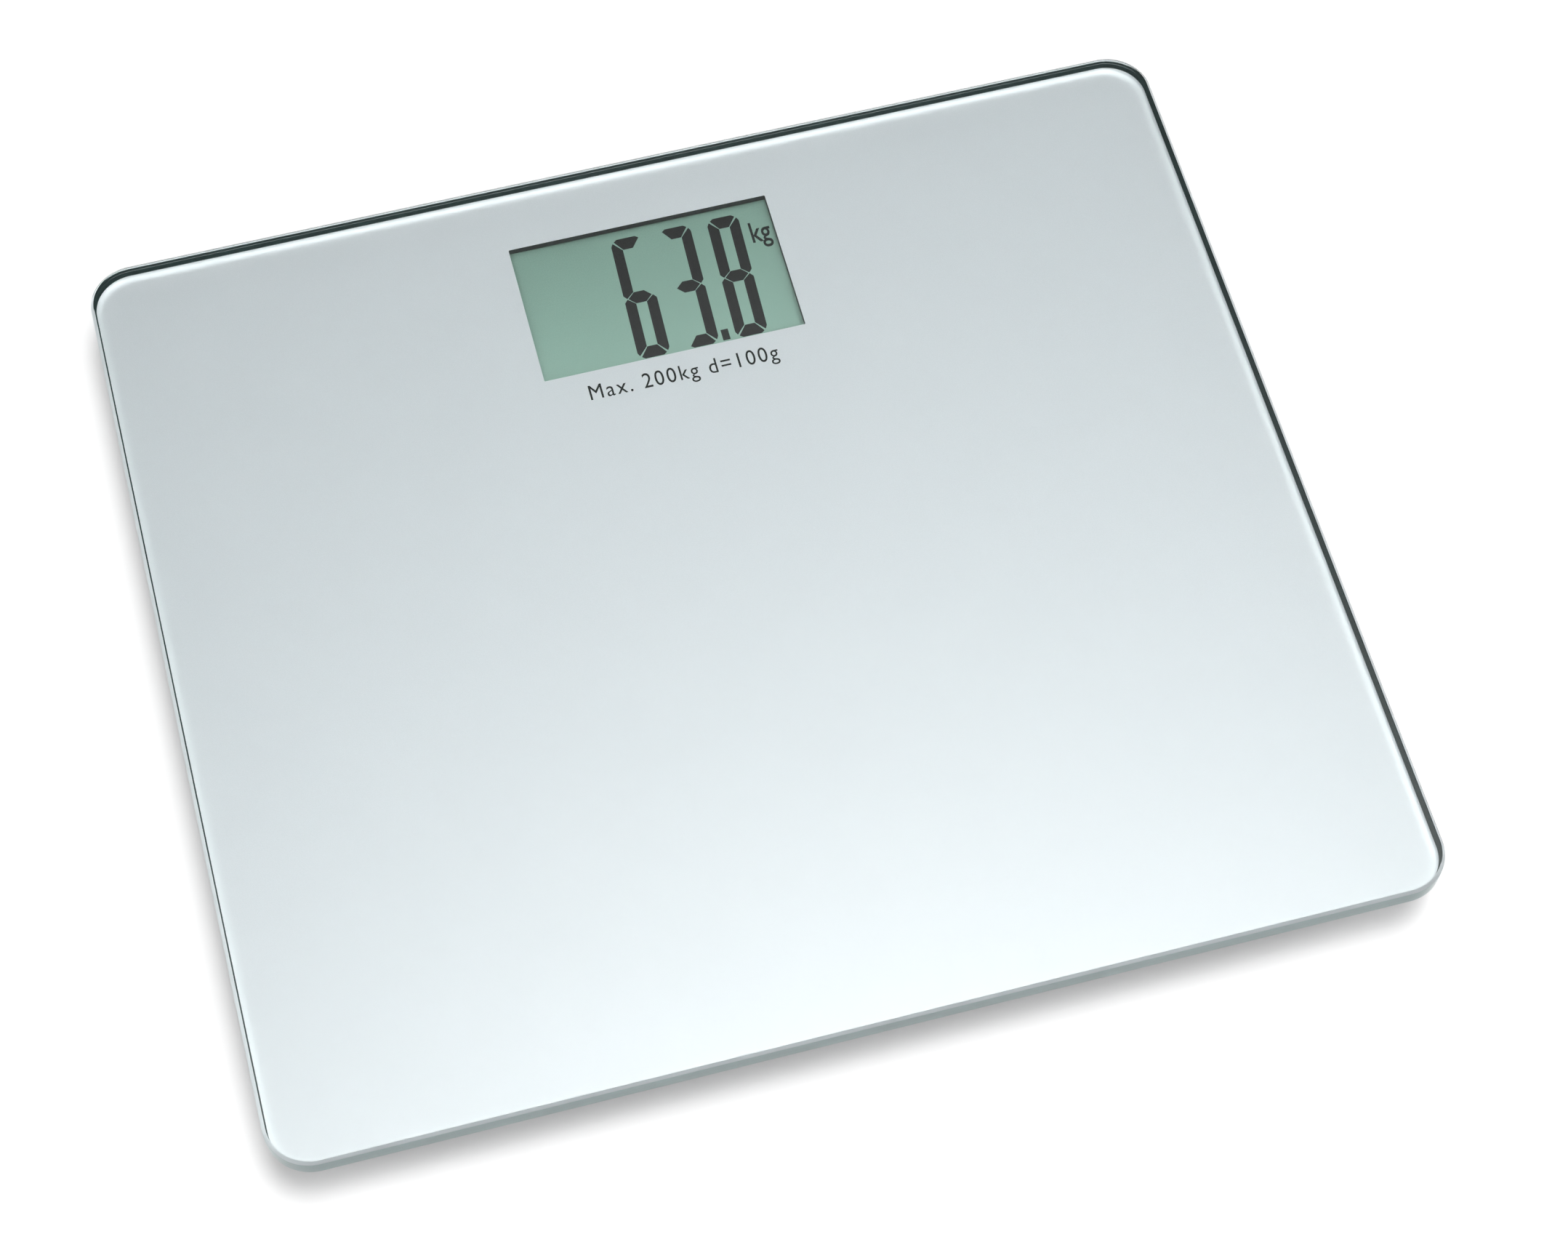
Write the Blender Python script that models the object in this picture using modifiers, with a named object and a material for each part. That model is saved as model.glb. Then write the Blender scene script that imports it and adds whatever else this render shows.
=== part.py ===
"""Glass bathroom scale: a tempered glass platform on four load-cell feet.

Metres, +Z up. The origin is on the floor under the middle of the platform,
+X is to the right of the person who reads the display and +Y is towards the
display, which sits near the back edge.
"""
import math

import bmesh
import bpy
from mathutils import Matrix, Vector

MM = 0.001

# ---- overall sizes ----
GLASS_WIDTH = 400 * MM
GLASS_DEPTH = 354 * MM
OVERALL_HEIGHT = 28 * MM
GLASS_THICKNESS = 8 * MM
GLASS_CORNER = 16 * MM
GLASS_ARRIS = 1.1 * MM

# ---- gaps ----
GAP = 0.3 * MM
GUIDE_GAP = 0.4 * MM

# ---- silver lacquer and the display window in it ----
BACKING_THICKNESS = 0.4 * MM
BACKING_MARGIN = 1.5 * MM
WINDOW_WIDTH = 96.8 * MM
WINDOW_DEPTH = 58.3 * MM
WINDOW_FROM_BACK = 25.6 * MM
WINDOW_CORNER = 0.6 * MM

# ---- feet ----
FOOT_INSET = 48 * MM
BRACKET_WALL = 2 * MM
BRACKET_ROOF = 2 * MM
BRACKET_CHAMFER = 0.8 * MM
BRACKET_FLOOR_GAP = 6.5 * MM
LIP_REACH = 0.7 * MM
LIP_HEIGHT = 1.4 * MM
FOOT_TAPE_THICKNESS = 1 * MM
FOOT_TAPE_INNER = 10 * MM
FOOT_TAPE_MARGIN = 1.5 * MM
CELL_SIZE = 32 * MM
CELL_CORNER = 6 * MM
CELL_ROOM = 1.86 * MM
CELL_THICKNESS = 2.5 * MM
CELL_SLOT = 2 * MM
CELL_TONGUE_WIDTH = 12 * MM
CELL_FRAME_WIDTH = 5 * MM
SEAT_HEIGHT = 0.7 * MM
SEAT_WIDTH = 3 * MM
FOOT_TRAVEL = 0.5 * MM
CAP_WALL = 1.8 * MM
CAP_FLOOR = 2.4 * MM
CAP_RIM_HEIGHT = 1.2 * MM
CAP_CHAMFER = 0.6 * MM
BEAD_HEIGHT = 0.8 * MM
PLUNGER_RADIUS = 4.5 * MM
PAD_RIM = 3.4 * MM
PAD_THICKNESS = 2.3 * MM
PAD_CHAMFER = 0.5 * MM

# ---- display and its housing ----
FRAME_RIM = 5 * MM
FRAME_THICKNESS = 1.7 * MM
LCD_OVERLAP = 3 * MM
LCD_THICKNESS = 2 * MM
HOUSING_SIDE_MARGIN = 6.3 * MM
HOUSING_BACK_MARGIN = 3.3 * MM
HOUSING_WALL = 1.6 * MM
HOUSING_CORNER = 8 * MM
HOUSING_TAPE_THICKNESS = 0.7 * MM
HOUSING_TAPE_MARGIN = 1 * MM
COVER_FLOOR_GAP = 4.6 * MM
COVER_THICKNESS = 1.8 * MM
COVER_CHAMFER = 0.6 * MM
ZEBRA_LENGTH = 90 * MM
ZEBRA_WIDTH = 2.5 * MM
ZEBRA_HEIGHT = 2.3 * MM
ZEBRA_INSET = 1 * MM
PCB_THICKNESS = 1.6 * MM
PCB_SIDE_GAP = 8.4 * MM
PCB_FRONT_EAR = 12 * MM
PCB_BLOCK_GAP = 2 * MM

# ---- fasteners of the housing ----
BOSS_RADIUS = 3.4 * MM
BOSS_INSET = 4 * MM
BOSS_END_INSET = 6 * MM
SCREW_RADIUS = 1.25 * MM
SCREW_HEAD_RADIUS = 2.7 * MM
SCREW_HEAD_HEIGHT = 0.8 * MM
COVER_SCREW_LENGTH = 8.5 * MM
PCB_BOSS_RADIUS = 3 * MM
PCB_SCREW_EDGE = 6 * MM
PCB_SCREW_LENGTH = 5 * MM

# ---- battery bay ----
COIN_RADIUS = 10 * MM
COIN_THICKNESS = 3.2 * MM
COIN_STEP = 0.3 * MM
COIN_CAN_RIM = 1.2 * MM
COIN_GAP = 0.5 * MM
BAY_WALL = 5 * MM
BAY_FRONT_GAP = 0.9 * MM
BAY_ROOF = 1.7 * MM
DOOR_WIDTH = 34 * MM
DOOR_DEPTH = 26 * MM
DOOR_CORNER = 1.5 * MM
DOOR_CHAMFER = 0.45 * MM
DOOR_NOTCH_RADIUS = 2.5 * MM
DOOR_NOTCH_INSET = 4.5 * MM
DOOR_NOTCH_DEPTH = 0.8 * MM
TONGUE_WIDTH = 5 * MM
TONGUE_REACH = 3 * MM
TONGUE_THICKNESS = 1.2 * MM
TONGUE_SPREAD = 13 * MM
LEAF_THICKNESS = 0.3 * MM
LEAF_WIDTH = 5 * MM
LEAF_LENGTH = 9 * MM
LEAF_TAIL = 3 * MM

# ---- unit button and what it presses ----
BUTTON_RADIUS = 3.8 * MM
BUTTON_FLANGE = 1.4 * MM
BUTTON_PROUD = 0.3 * MM
BUTTON_CHAMFER = 0.4 * MM
BUTTON_TRAVEL = 0.5 * MM
BUTTON_X = 36 * MM
BUTTON_FROM_WINDOW = 8 * MM
SWITCH_SIZE = 6 * MM
SWITCH_BODY = 1.2 * MM
SWITCH_STEM = 0.5 * MM
SWITCH_STEM_RADIUS = 1.7 * MM

# ---- circuit and label ----
BLOB_RADIUS = 6 * MM
BLOB_HEIGHT = 1.5 * MM
BLOB_X = -18 * MM
LABEL_WIDTH = 62 * MM
LABEL_DEPTH = 28 * MM
LABEL_THICKNESS = 0.15 * MM
LABEL_CORNER = 2 * MM

# ---- load-cell leads and their clips ----
LEAD_RADIUS = 1 * MM
LEAD_HOLE_GAP = 0.4 * MM
LEAD_START = 1 * MM
LEAD_RISE = 16 * MM
LEAD_LEAVES = 3 * MM
LEAD_END_INSET = 10 * MM
LEAD_SPACING = 5.5 * MM
FRONT_LEAD_ENTRY = 2 * MM
FRONT_LEAD_TURN = 40 * MM
CLIP_LENGTH = 6 * MM
CLIP_WIDTH = 7 * MM
CLIP_FLOOR = 0.7 * MM
CLIP_SHARES = (0.3, 0.7)
STRAIGHT_KNOT_SHARES = (0.0, 0.15, 0.5, 0.85, 1.0)

# ---- roundness ----
TURN_STEPS = 24
CORNER_STEPS = 6
LARGE_CORNER_STEPS = 10
HOLE_STEPS = 16
SMALL_STEPS = 12
DOME_STEPS = 3
SHARP_CORNER_STEPS = 2
SOFT_CORNER_STEPS = 3
LEAD_BEVEL_STEPS = 2

# ---- modelling limits ----
WELD_DISTANCE = 0.01 * MM
CHAMFER_ANGLE = math.radians(40)

# ---- heights that follow ----
GLASS_UNDERSIDE = OVERALL_HEIGHT - GLASS_THICKNESS
BACKING_TOP = GLASS_UNDERSIDE - GAP
BACKING_UNDERSIDE = BACKING_TOP - BACKING_THICKNESS
BOND_PLANE = BACKING_UNDERSIDE - GAP

BRACKET_TOP = BOND_PLANE - FOOT_TAPE_THICKNESS - GAP
BRACKET_ROOF_UNDERSIDE = BRACKET_TOP - BRACKET_ROOF
CELL_TOP = BRACKET_ROOF_UNDERSIDE - SEAT_HEIGHT - GAP
CELL_UNDERSIDE = CELL_TOP - CELL_THICKNESS
PLUNGER_TOP = CELL_UNDERSIDE - FOOT_TRAVEL - GAP
LIP_TOP = BRACKET_FLOOR_GAP + LIP_HEIGHT
BEAD_BOTTOM = LIP_TOP + GAP
BEAD_TOP = BEAD_BOTTOM + BEAD_HEIGHT
CAP_RECESS_TOP = PAD_THICKNESS + GAP
CAP_FLOOR_TOP = CAP_RECESS_TOP + CAP_FLOOR

LCD_TOP = BOND_PLANE - FRAME_THICKNESS - GAP
LCD_UNDERSIDE = LCD_TOP - LCD_THICKNESS
ZEBRA_TOP = LCD_UNDERSIDE - GAP
PCB_TOP = ZEBRA_TOP - ZEBRA_HEIGHT - GAP
PCB_UNDERSIDE = PCB_TOP - PCB_THICKNESS
SWITCH_TOP = PCB_UNDERSIDE - GAP
SWITCH_BODY_BOTTOM = SWITCH_TOP - SWITCH_BODY
SWITCH_BOTTOM = SWITCH_BODY_BOTTOM - SWITCH_STEM
HOUSING_TOP = BOND_PLANE - HOUSING_TAPE_THICKNESS - GAP
HOUSING_ROOF_UNDERSIDE = HOUSING_TOP - HOUSING_WALL
COVER_TOP = COVER_FLOOR_GAP + COVER_THICKNESS
HOUSING_BOTTOM = COVER_TOP + GAP
COIN_BOTTOM = COVER_TOP + GUIDE_GAP
COIN_TOP = COIN_BOTTOM + COIN_THICKNESS
LEAF_BOTTOM = COIN_TOP + GAP
BAY_CEILING = LEAF_BOTTOM + LEAF_THICKNESS + GAP
BAY_TOP = BAY_CEILING + BAY_ROOF

# ---- places that follow ----
FOOT_X = GLASS_WIDTH / 2 - FOOT_INSET
FOOT_Y = GLASS_DEPTH / 2 - FOOT_INSET
CELL_REACH = math.sqrt(2) * (CELL_SIZE / 2 - CELL_CORNER) + CELL_CORNER
BRACKET_INNER = CELL_REACH + CELL_ROOM
BRACKET_RADIUS = BRACKET_INNER + BRACKET_WALL
LIP_RADIUS = BRACKET_INNER - LIP_REACH
BEAD_RADIUS = BRACKET_INNER - GAP
CAP_RADIUS = LIP_RADIUS - GUIDE_GAP
PAD_RADIUS = CAP_RADIUS - PAD_RIM
WINDOW_BACK = GLASS_DEPTH / 2 - WINDOW_FROM_BACK
WINDOW_Y = WINDOW_BACK - WINDOW_DEPTH / 2
FRAME_WIDTH = WINDOW_WIDTH + 2 * FRAME_RIM
FRAME_DEPTH = WINDOW_DEPTH + 2 * FRAME_RIM
POCKET_WIDTH = FRAME_WIDTH + 2 * GAP
POCKET_DEPTH = FRAME_DEPTH + 2 * GAP
LCD_WIDTH = WINDOW_WIDTH + 2 * LCD_OVERLAP
LCD_DEPTH = WINDOW_DEPTH + 2 * LCD_OVERLAP
LCD_FRONT = WINDOW_Y - LCD_DEPTH / 2
HOUSING_HALF = POCKET_WIDTH / 2 + HOUSING_SIDE_MARGIN
HOUSING_BACK = WINDOW_Y + POCKET_DEPTH / 2 + HOUSING_BACK_MARGIN
BAY_HALF_WIDTH = DOOR_WIDTH / 2 + BAY_WALL
BAY_HALF_DEPTH = DOOR_DEPTH / 2 + BAY_WALL
BAY_Y = WINDOW_Y - POCKET_DEPTH / 2 - GAP - BAY_HALF_DEPTH
HOUSING_FRONT = BAY_Y - BAY_HALF_DEPTH - BAY_FRONT_GAP - HOUSING_WALL
HOUSING_Y = (HOUSING_BACK + HOUSING_FRONT) / 2
HOUSING_DEPTH = HOUSING_BACK - HOUSING_FRONT
BOSS_PLACES = [
    (side * (HOUSING_HALF - BOSS_INSET), y)
    for side in (-1, 1)
    for y in (HOUSING_FRONT + BOSS_END_INSET, HOUSING_BACK - BOSS_END_INSET)
]
PCB_HALF = HOUSING_HALF - HOUSING_WALL - PCB_SIDE_GAP
PCB_FRONT = LCD_FRONT - PCB_FRONT_EAR
PCB_BACK = WINDOW_Y + LCD_DEPTH / 2
PCB_SCREW_Y = PCB_FRONT + PCB_SCREW_EDGE
PCB_SCREW_PLACES = [(side * (PCB_HALF - PCB_SCREW_EDGE), PCB_SCREW_Y) for side in (-1, 1)]
BUTTON_Y = WINDOW_Y - WINDOW_DEPTH / 2 + BUTTON_FROM_WINDOW
HINGE_Y = BAY_Y - DOOR_DEPTH / 2 + GAP + COVER_THICKNESS / 2
HINGE_Z = COVER_FLOOR_GAP + COVER_THICKNESS / 2
LEAD_RUN_Z = BOND_PLANE - LEAD_RADIUS
LEAD_CELL_Z = (CELL_TOP + CELL_UNDERSIDE) / 2
LEAD_ENTRY_Z = (PCB_TOP + LCD_UNDERSIDE) / 2
FRONT_LEAD_ENTRY_Y = PCB_SCREW_Y + PCB_BOSS_RADIUS + FRONT_LEAD_ENTRY


# ---- scene and materials ----
def clear_scene():
    """Remove every object that the scene holds."""
    for old in list(bpy.data.objects):
        bpy.data.objects.remove(old, do_unlink=True)


def new_collection(name):
    """A collection in the scene for one kind of object."""
    collection = bpy.data.collections.new(name)
    bpy.context.scene.collection.children.link(collection)
    return collection


def finish(name, colour, roughness, metallic=0.0, alpha=1.0):
    """A Principled material in one plain colour."""
    material = bpy.data.materials.new(name)
    material.use_nodes = True
    shader = material.node_tree.nodes["Principled BSDF"]
    shader.inputs["Base Color"].default_value = (*colour, 1.0)
    shader.inputs["Roughness"].default_value = roughness
    shader.inputs["Metallic"].default_value = metallic
    shader.inputs["Alpha"].default_value = alpha
    return material


clear_scene()
PARTS = new_collection("bathroom_scale")
CUTTERS = new_collection("cutters")

CLEAR_GLASS = finish("clear_glass", (0.78, 0.90, 0.86), 0.03, alpha=0.35)
SILVER_LACQUER = finish("silver_lacquer", (0.66, 0.70, 0.71), 0.35, metallic=0.6)
BLACK_ABS = finish("black_abs", (0.025, 0.026, 0.028), 0.5)
GREY_RUBBER = finish("grey_rubber", (0.10, 0.10, 0.11), 0.85)
FOAM_TAPE = finish("foam_tape", (0.80, 0.80, 0.78), 0.9)
CELL_STEEL = finish("cell_steel", (0.62, 0.63, 0.65), 0.35, metallic=1.0)
LEAD_VINYL = finish("lead_vinyl", (0.75, 0.75, 0.74), 0.5)
LCD_GREEN = finish("lcd_green", (0.42, 0.53, 0.46), 0.25)
ZEBRA_RUBBER = finish("zebra_rubber", (0.20, 0.20, 0.20), 0.8)
BOARD_GREEN = finish("board_green", (0.03, 0.18, 0.07), 0.4)
BLACK_EPOXY = finish("black_epoxy", (0.02, 0.02, 0.02), 0.3)
SCREW_STEEL = finish("screw_steel", (0.55, 0.55, 0.57), 0.3, metallic=1.0)
CELL_NICKEL = finish("cell_nickel", (0.70, 0.70, 0.70), 0.25, metallic=1.0)
SPRING_BRASS = finish("spring_brass", (0.72, 0.58, 0.30), 0.3, metallic=1.0)
LABEL_FILM = finish("label_film", (0.80, 0.81, 0.82), 0.45)


# ---- outlines ----
def rounded_outline(width, depth, radius, steps=CORNER_STEPS, centre=(0.0, 0.0)):
    """Points round a rectangle whose four corners are arcs, counter-clockwise."""
    points = []
    for corner, (side_x, side_y) in enumerate(((1, 1), (-1, 1), (-1, -1), (1, -1))):
        middle_x = centre[0] + side_x * (width / 2 - radius)
        middle_y = centre[1] + side_y * (depth / 2 - radius)
        for step in range(steps + 1):
            angle = (corner + step / steps) * math.pi / 2
            x = middle_x + radius * math.cos(angle)
            y = middle_y + radius * math.sin(angle)
            points.append((x, y))
    return points


def channel_outline(width, height, floor, radius, steps=SMALL_STEPS):
    """A channel open at the top, with a round bottom to its groove; its top edge is at y = 0."""
    groove_bottom = -height + floor
    middle_y = groove_bottom + radius
    points = [(-width / 2, 0.0), (-width / 2, -height), (width / 2, -height), (width / 2, 0.0)]
    points.append((radius, 0.0))
    for step in range(steps + 1):
        angle = -math.pi * step / steps
        points.append((radius * math.cos(angle), middle_y + radius * math.sin(angle)))
    points.append((-radius, 0.0))
    return points


# ---- solids ----
def adopt(obj, name, material, parent=None):
    """Name a piece, give it its finish, file it with the parts and hang it on its parent."""
    obj.name = name
    obj.data.materials.clear()
    obj.data.materials.append(material)
    PARTS.objects.link(obj)
    obj.parent = parent
    return obj


def outline_curve(name, outlines, thickness):
    """A flat 2D curve of one outline and any holes in it, as thick as asked."""
    curve = bpy.data.curves.new(name, "CURVE")
    curve.dimensions = "2D"
    curve.fill_mode = "BOTH"
    curve.extrude = thickness / 2
    for outline in outlines:
        spline = curve.splines.new("POLY")
        spline.points.add(len(outline) - 1)
        spline.use_cyclic_u = True
        for point, (x, y) in zip(spline.points, outline):
            point.co = (x, y, 0.0, 1.0)
    return bpy.data.objects.new(name, curve)


def meshed(curve_object):
    """The curve object as a mesh object with its caps welded on."""
    bpy.context.scene.collection.objects.link(curve_object)
    bpy.context.view_layer.update()
    evaluated = curve_object.evaluated_get(bpy.context.evaluated_depsgraph_get())
    mesh = bpy.data.meshes.new_from_object(evaluated)
    work = bmesh.new()
    work.from_mesh(mesh)
    bmesh.ops.remove_doubles(work, verts=work.verts, dist=WELD_DISTANCE)
    work.to_mesh(mesh)
    work.free()
    name = curve_object.name
    placing = curve_object.matrix_world.copy()
    bpy.data.objects.remove(curve_object, do_unlink=True)
    solid = bpy.data.objects.new(name, mesh)
    solid.matrix_world = placing
    return solid


def plate(name, outlines, bottom, top):
    """A level plate of the given outlines between two heights, as a mesh."""
    curve_object = outline_curve(name, outlines, top - bottom)
    curve_object.location.z = (bottom + top) / 2
    return meshed(curve_object)


def turned(name, profile, closed=False, steps=TURN_STEPS):
    """A profile of (radius, height) points, outer side downwards, screwed round the Z axis."""
    mesh = bpy.data.meshes.new(name)
    vertices = [(radius, 0.0, height) for radius, height in profile]
    edges = [(index, index + 1) for index in range(len(profile) - 1)]
    if closed:
        edges.append((len(profile) - 1, 0))
    mesh.from_pydata(vertices, edges, [])
    obj = bpy.data.objects.new(name, mesh)
    screw = obj.modifiers.new("turn", "SCREW")
    screw.axis = "Z"
    screw.steps = steps
    screw.render_steps = steps
    screw.use_merge_vertices = True
    screw.merge_threshold = WELD_DISTANCE
    screw.use_smooth_shade = False
    return obj


def block_mesh(low, high):
    """A box between two corners."""
    mesh = bpy.data.meshes.new("block")
    work = bmesh.new()
    middle = (Vector(low) + Vector(high)) / 2
    size = Vector(high) - Vector(low)
    placing = Matrix.Translation(middle) @ Matrix.Diagonal((*size, 1.0))
    bmesh.ops.create_cube(work, size=1.0, matrix=placing)
    work.to_mesh(mesh)
    work.free()
    return mesh


def rod_mesh(radius, bottom, top, centre=(0.0, 0.0), steps=HOLE_STEPS, lying=None):
    """An upright cylinder, or one lying along X or Y whose two ends are bottom and top."""
    mesh = bpy.data.meshes.new("rod")
    work = bmesh.new()
    middle = (bottom + top) / 2
    if lying == "X":
        placing = Matrix.Translation((middle, *centre)) @ Matrix.Rotation(math.pi / 2, 4, "Y")
    elif lying == "Y":
        turned_flat = Matrix.Rotation(math.pi / 2, 4, "X")
        placing = Matrix.Translation((centre[0], middle, centre[1])) @ turned_flat
    else:
        placing = Matrix.Translation((*centre, middle))
    bmesh.ops.create_cone(
        work, cap_ends=True, segments=steps, radius1=radius, radius2=radius,
        depth=top - bottom, matrix=placing,
    )
    work.to_mesh(mesh)
    work.free()
    return mesh


def shape_with(target, mesh, operation, parent=None):
    """Cut a tool mesh out of the target, or join it on, by a Boolean that keeps the tool."""
    tool = bpy.data.objects.new(f"{target.name}_tool", mesh)
    CUTTERS.objects.link(tool)
    tool.hide_render = True
    tool.display_type = "WIRE"
    tool.parent = parent
    boolean = target.modifiers.new(operation.lower(), "BOOLEAN")
    boolean.operation = operation
    boolean.solver = "EXACT"
    boolean.object = tool


def cut(target, mesh, parent=None):
    """Cut the tool mesh out of the target."""
    shape_with(target, mesh, "DIFFERENCE", parent)


def join(target, mesh, parent=None):
    """Join the tool mesh on to the target."""
    shape_with(target, mesh, "UNION", parent)


def chamfer(target, width):
    """Chamfer every sharp edge that the target has so far."""
    bevel = target.modifiers.new("chamfer", "BEVEL")
    bevel.width = width
    bevel.segments = 1
    bevel.limit_method = "ANGLE"
    bevel.angle_limit = CHAMFER_ANGLE


# ---- platform ----
def build_platform():
    """The tempered glass and the lacquer on its underside, which leaves the display clear."""
    outline = rounded_outline(GLASS_WIDTH, GLASS_DEPTH, GLASS_CORNER, LARGE_CORNER_STEPS)
    glass = plate("glass_platform", [outline], GLASS_UNDERSIDE, OVERALL_HEIGHT)
    adopt(glass, "glass_platform", CLEAR_GLASS)
    chamfer(glass, GLASS_ARRIS)
    lacquer_edge = rounded_outline(
        GLASS_WIDTH - 2 * BACKING_MARGIN, GLASS_DEPTH - 2 * BACKING_MARGIN,
        GLASS_CORNER - BACKING_MARGIN, LARGE_CORNER_STEPS,
    )
    window = rounded_outline(
        WINDOW_WIDTH, WINDOW_DEPTH, WINDOW_CORNER, SHARP_CORNER_STEPS, (0.0, WINDOW_Y)
    )
    backing = plate("silver_backing", [lacquer_edge, window], BACKING_UNDERSIDE, BACKING_TOP)
    adopt(backing, "silver_backing", SILVER_LACQUER)


# ---- feet ----
def build_bracket(corner, foot, lead_direction):
    """The cup bonded under the glass: a seat for the cell and a lip that keeps the cap in."""
    bracket = turned(f"foot_bracket_{corner}", [
        (0.0, BRACKET_TOP),
        (BRACKET_RADIUS - BRACKET_CHAMFER, BRACKET_TOP),
        (BRACKET_RADIUS, BRACKET_TOP - BRACKET_CHAMFER),
        (BRACKET_RADIUS, BRACKET_FLOOR_GAP),
        (LIP_RADIUS, BRACKET_FLOOR_GAP),
        (LIP_RADIUS, LIP_TOP),
        (BRACKET_INNER, LIP_TOP),
        (BRACKET_INNER, BRACKET_ROOF_UNDERSIDE),
        (0.0, BRACKET_ROOF_UNDERSIDE),
    ])
    adopt(bracket, bracket.name, BLACK_ABS, foot)
    seat_outer = CELL_SIZE / 2 - SEAT_WIDTH / 2
    seat_half = CELL_SIZE / 2 - CELL_FRAME_WIDTH
    for side in (-1, 1):
        near = min(side * seat_outer, side * (seat_outer - SEAT_WIDTH))
        far = near + SEAT_WIDTH
        low = (near, -seat_half, BRACKET_ROOF_UNDERSIDE - SEAT_HEIGHT)
        high = (far, seat_half, BRACKET_ROOF_UNDERSIDE + BRACKET_ROOF / 2)
        join(bracket, block_mesh(low, high), foot)
    axis = "X" if lead_direction.x else "Y"
    sign = lead_direction.x + lead_direction.y
    inner_end = sign * (BRACKET_INNER - BRACKET_WALL)
    outer_end = sign * (BRACKET_RADIUS + BRACKET_WALL)
    ends = sorted((inner_end, outer_end))
    hole_radius = LEAD_RADIUS + LEAD_HOLE_GAP
    cut(bracket, rod_mesh(hole_radius, *ends, (0.0, LEAD_CELL_Z), SMALL_STEPS, axis), foot)


def build_cell(corner, foot):
    """The steel load cell: a frame with a tongue that bends between two slots."""
    slot_inner = CELL_TONGUE_WIDTH / 2
    slot_outer = slot_inner + CELL_SLOT
    slot_end = CELL_SIZE / 2 - CELL_FRAME_WIDTH
    slot = [
        (-slot_outer, -slot_end), (-slot_inner, -slot_end), (-slot_inner, slot_end - CELL_SLOT),
        (slot_inner, slot_end - CELL_SLOT), (slot_inner, -slot_end), (slot_outer, -slot_end),
        (slot_outer, slot_end), (-slot_outer, slot_end),
    ]
    frame = rounded_outline(CELL_SIZE, CELL_SIZE, CELL_CORNER)
    cell = plate(f"load_cell_{corner}", [frame, slot], CELL_UNDERSIDE, CELL_TOP)
    adopt(cell, cell.name, CELL_STEEL, foot)


def build_cap(corner, foot):
    """The cap that carries the load from the floor to the cell's tongue; it moves on Z."""
    recess_radius = PAD_RADIUS + GAP
    cap_inner = CAP_RADIUS - CAP_WALL
    cap = turned(f"foot_cap_{corner}", [
        (0.0, PLUNGER_TOP),
        (PLUNGER_RADIUS, PLUNGER_TOP),
        (PLUNGER_RADIUS, CAP_FLOOR_TOP),
        (cap_inner, CAP_FLOOR_TOP),
        (cap_inner, BEAD_TOP),
        (BEAD_RADIUS, BEAD_TOP),
        (BEAD_RADIUS, BEAD_BOTTOM),
        (CAP_RADIUS, BEAD_BOTTOM),
        (CAP_RADIUS, CAP_RIM_HEIGHT + CAP_CHAMFER),
        (CAP_RADIUS - CAP_CHAMFER, CAP_RIM_HEIGHT),
        (recess_radius, CAP_RIM_HEIGHT),
        (recess_radius, CAP_RECESS_TOP),
        (0.0, CAP_RECESS_TOP),
    ])
    adopt(cap, cap.name, BLACK_ABS, foot)
    pad = turned(f"foot_pad_{corner}", [
        (0.0, PAD_THICKNESS),
        (PAD_RADIUS, PAD_THICKNESS),
        (PAD_RADIUS, PAD_CHAMFER),
        (PAD_RADIUS - PAD_CHAMFER, 0.0),
        (0.0, 0.0),
    ])
    adopt(pad, pad.name, GREY_RUBBER, foot)


def build_foot_tape(corner, foot):
    """The foam ring that bonds the bracket to the lacquer."""
    outer = BRACKET_RADIUS - FOOT_TAPE_MARGIN
    top = BOND_PLANE
    bottom = BOND_PLANE - FOOT_TAPE_THICKNESS
    profile = [(outer, top), (outer, bottom), (FOOT_TAPE_INNER, bottom), (FOOT_TAPE_INNER, top)]
    tape = turned(f"foot_tape_{corner}", profile, closed=True)
    adopt(tape, tape.name, FOAM_TAPE, foot)


def build_foot(corner, side, end):
    """One foot on an empty at its axis. Back feet send their lead inwards, front feet back."""
    foot = bpy.data.objects.new(f"foot_{corner}", None)
    PARTS.objects.link(foot)
    foot.location = (side * FOOT_X, end * FOOT_Y, 0.0)
    lead_direction = Vector((-side, 0.0)) if end > 0 else Vector((0.0, 1.0))
    build_foot_tape(corner, foot)
    build_bracket(corner, foot, lead_direction)
    build_cell(corner, foot)
    build_cap(corner, foot)


# ---- leads ----
def knot_slope(before, here, after):
    """The slope at a knot: none along an axis where the route is level or turns back there."""
    slope = Vector((0.0, 0.0, 0.0))
    for axis in range(3):
        arriving = here[axis] - before[axis]
        leaving = after[axis] - here[axis]
        if arriving * leaving > 0:
            slope[axis] = 2 * arriving * leaving / (arriving + leaving)
    return slope


def smooth_route(knots, spacing):
    """Points about a spacing apart on a smooth curve through the knots, which never overshoots."""
    knots = [Vector(knot) for knot in knots]
    slopes = [knots[1] - knots[0]]
    for before, here, after in zip(knots, knots[1:], knots[2:]):
        slopes.append(knot_slope(before, here, after))
    slopes.append(knots[-1] - knots[-2])
    points = []
    for start, end, leaving, arriving in zip(knots, knots[1:], slopes, slopes[1:]):
        count = max(1, round((end - start).length / spacing))
        for step in range(count):
            t = step / count
            place = start * (2 * t ** 3 - 3 * t ** 2 + 1) + end * (3 * t ** 2 - 2 * t ** 3)
            place += leaving * (t ** 3 - 2 * t ** 2 + t) + arriving * (t ** 3 - t ** 2)
            points.append(place)
    points.append(knots[-1])
    return points


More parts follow.
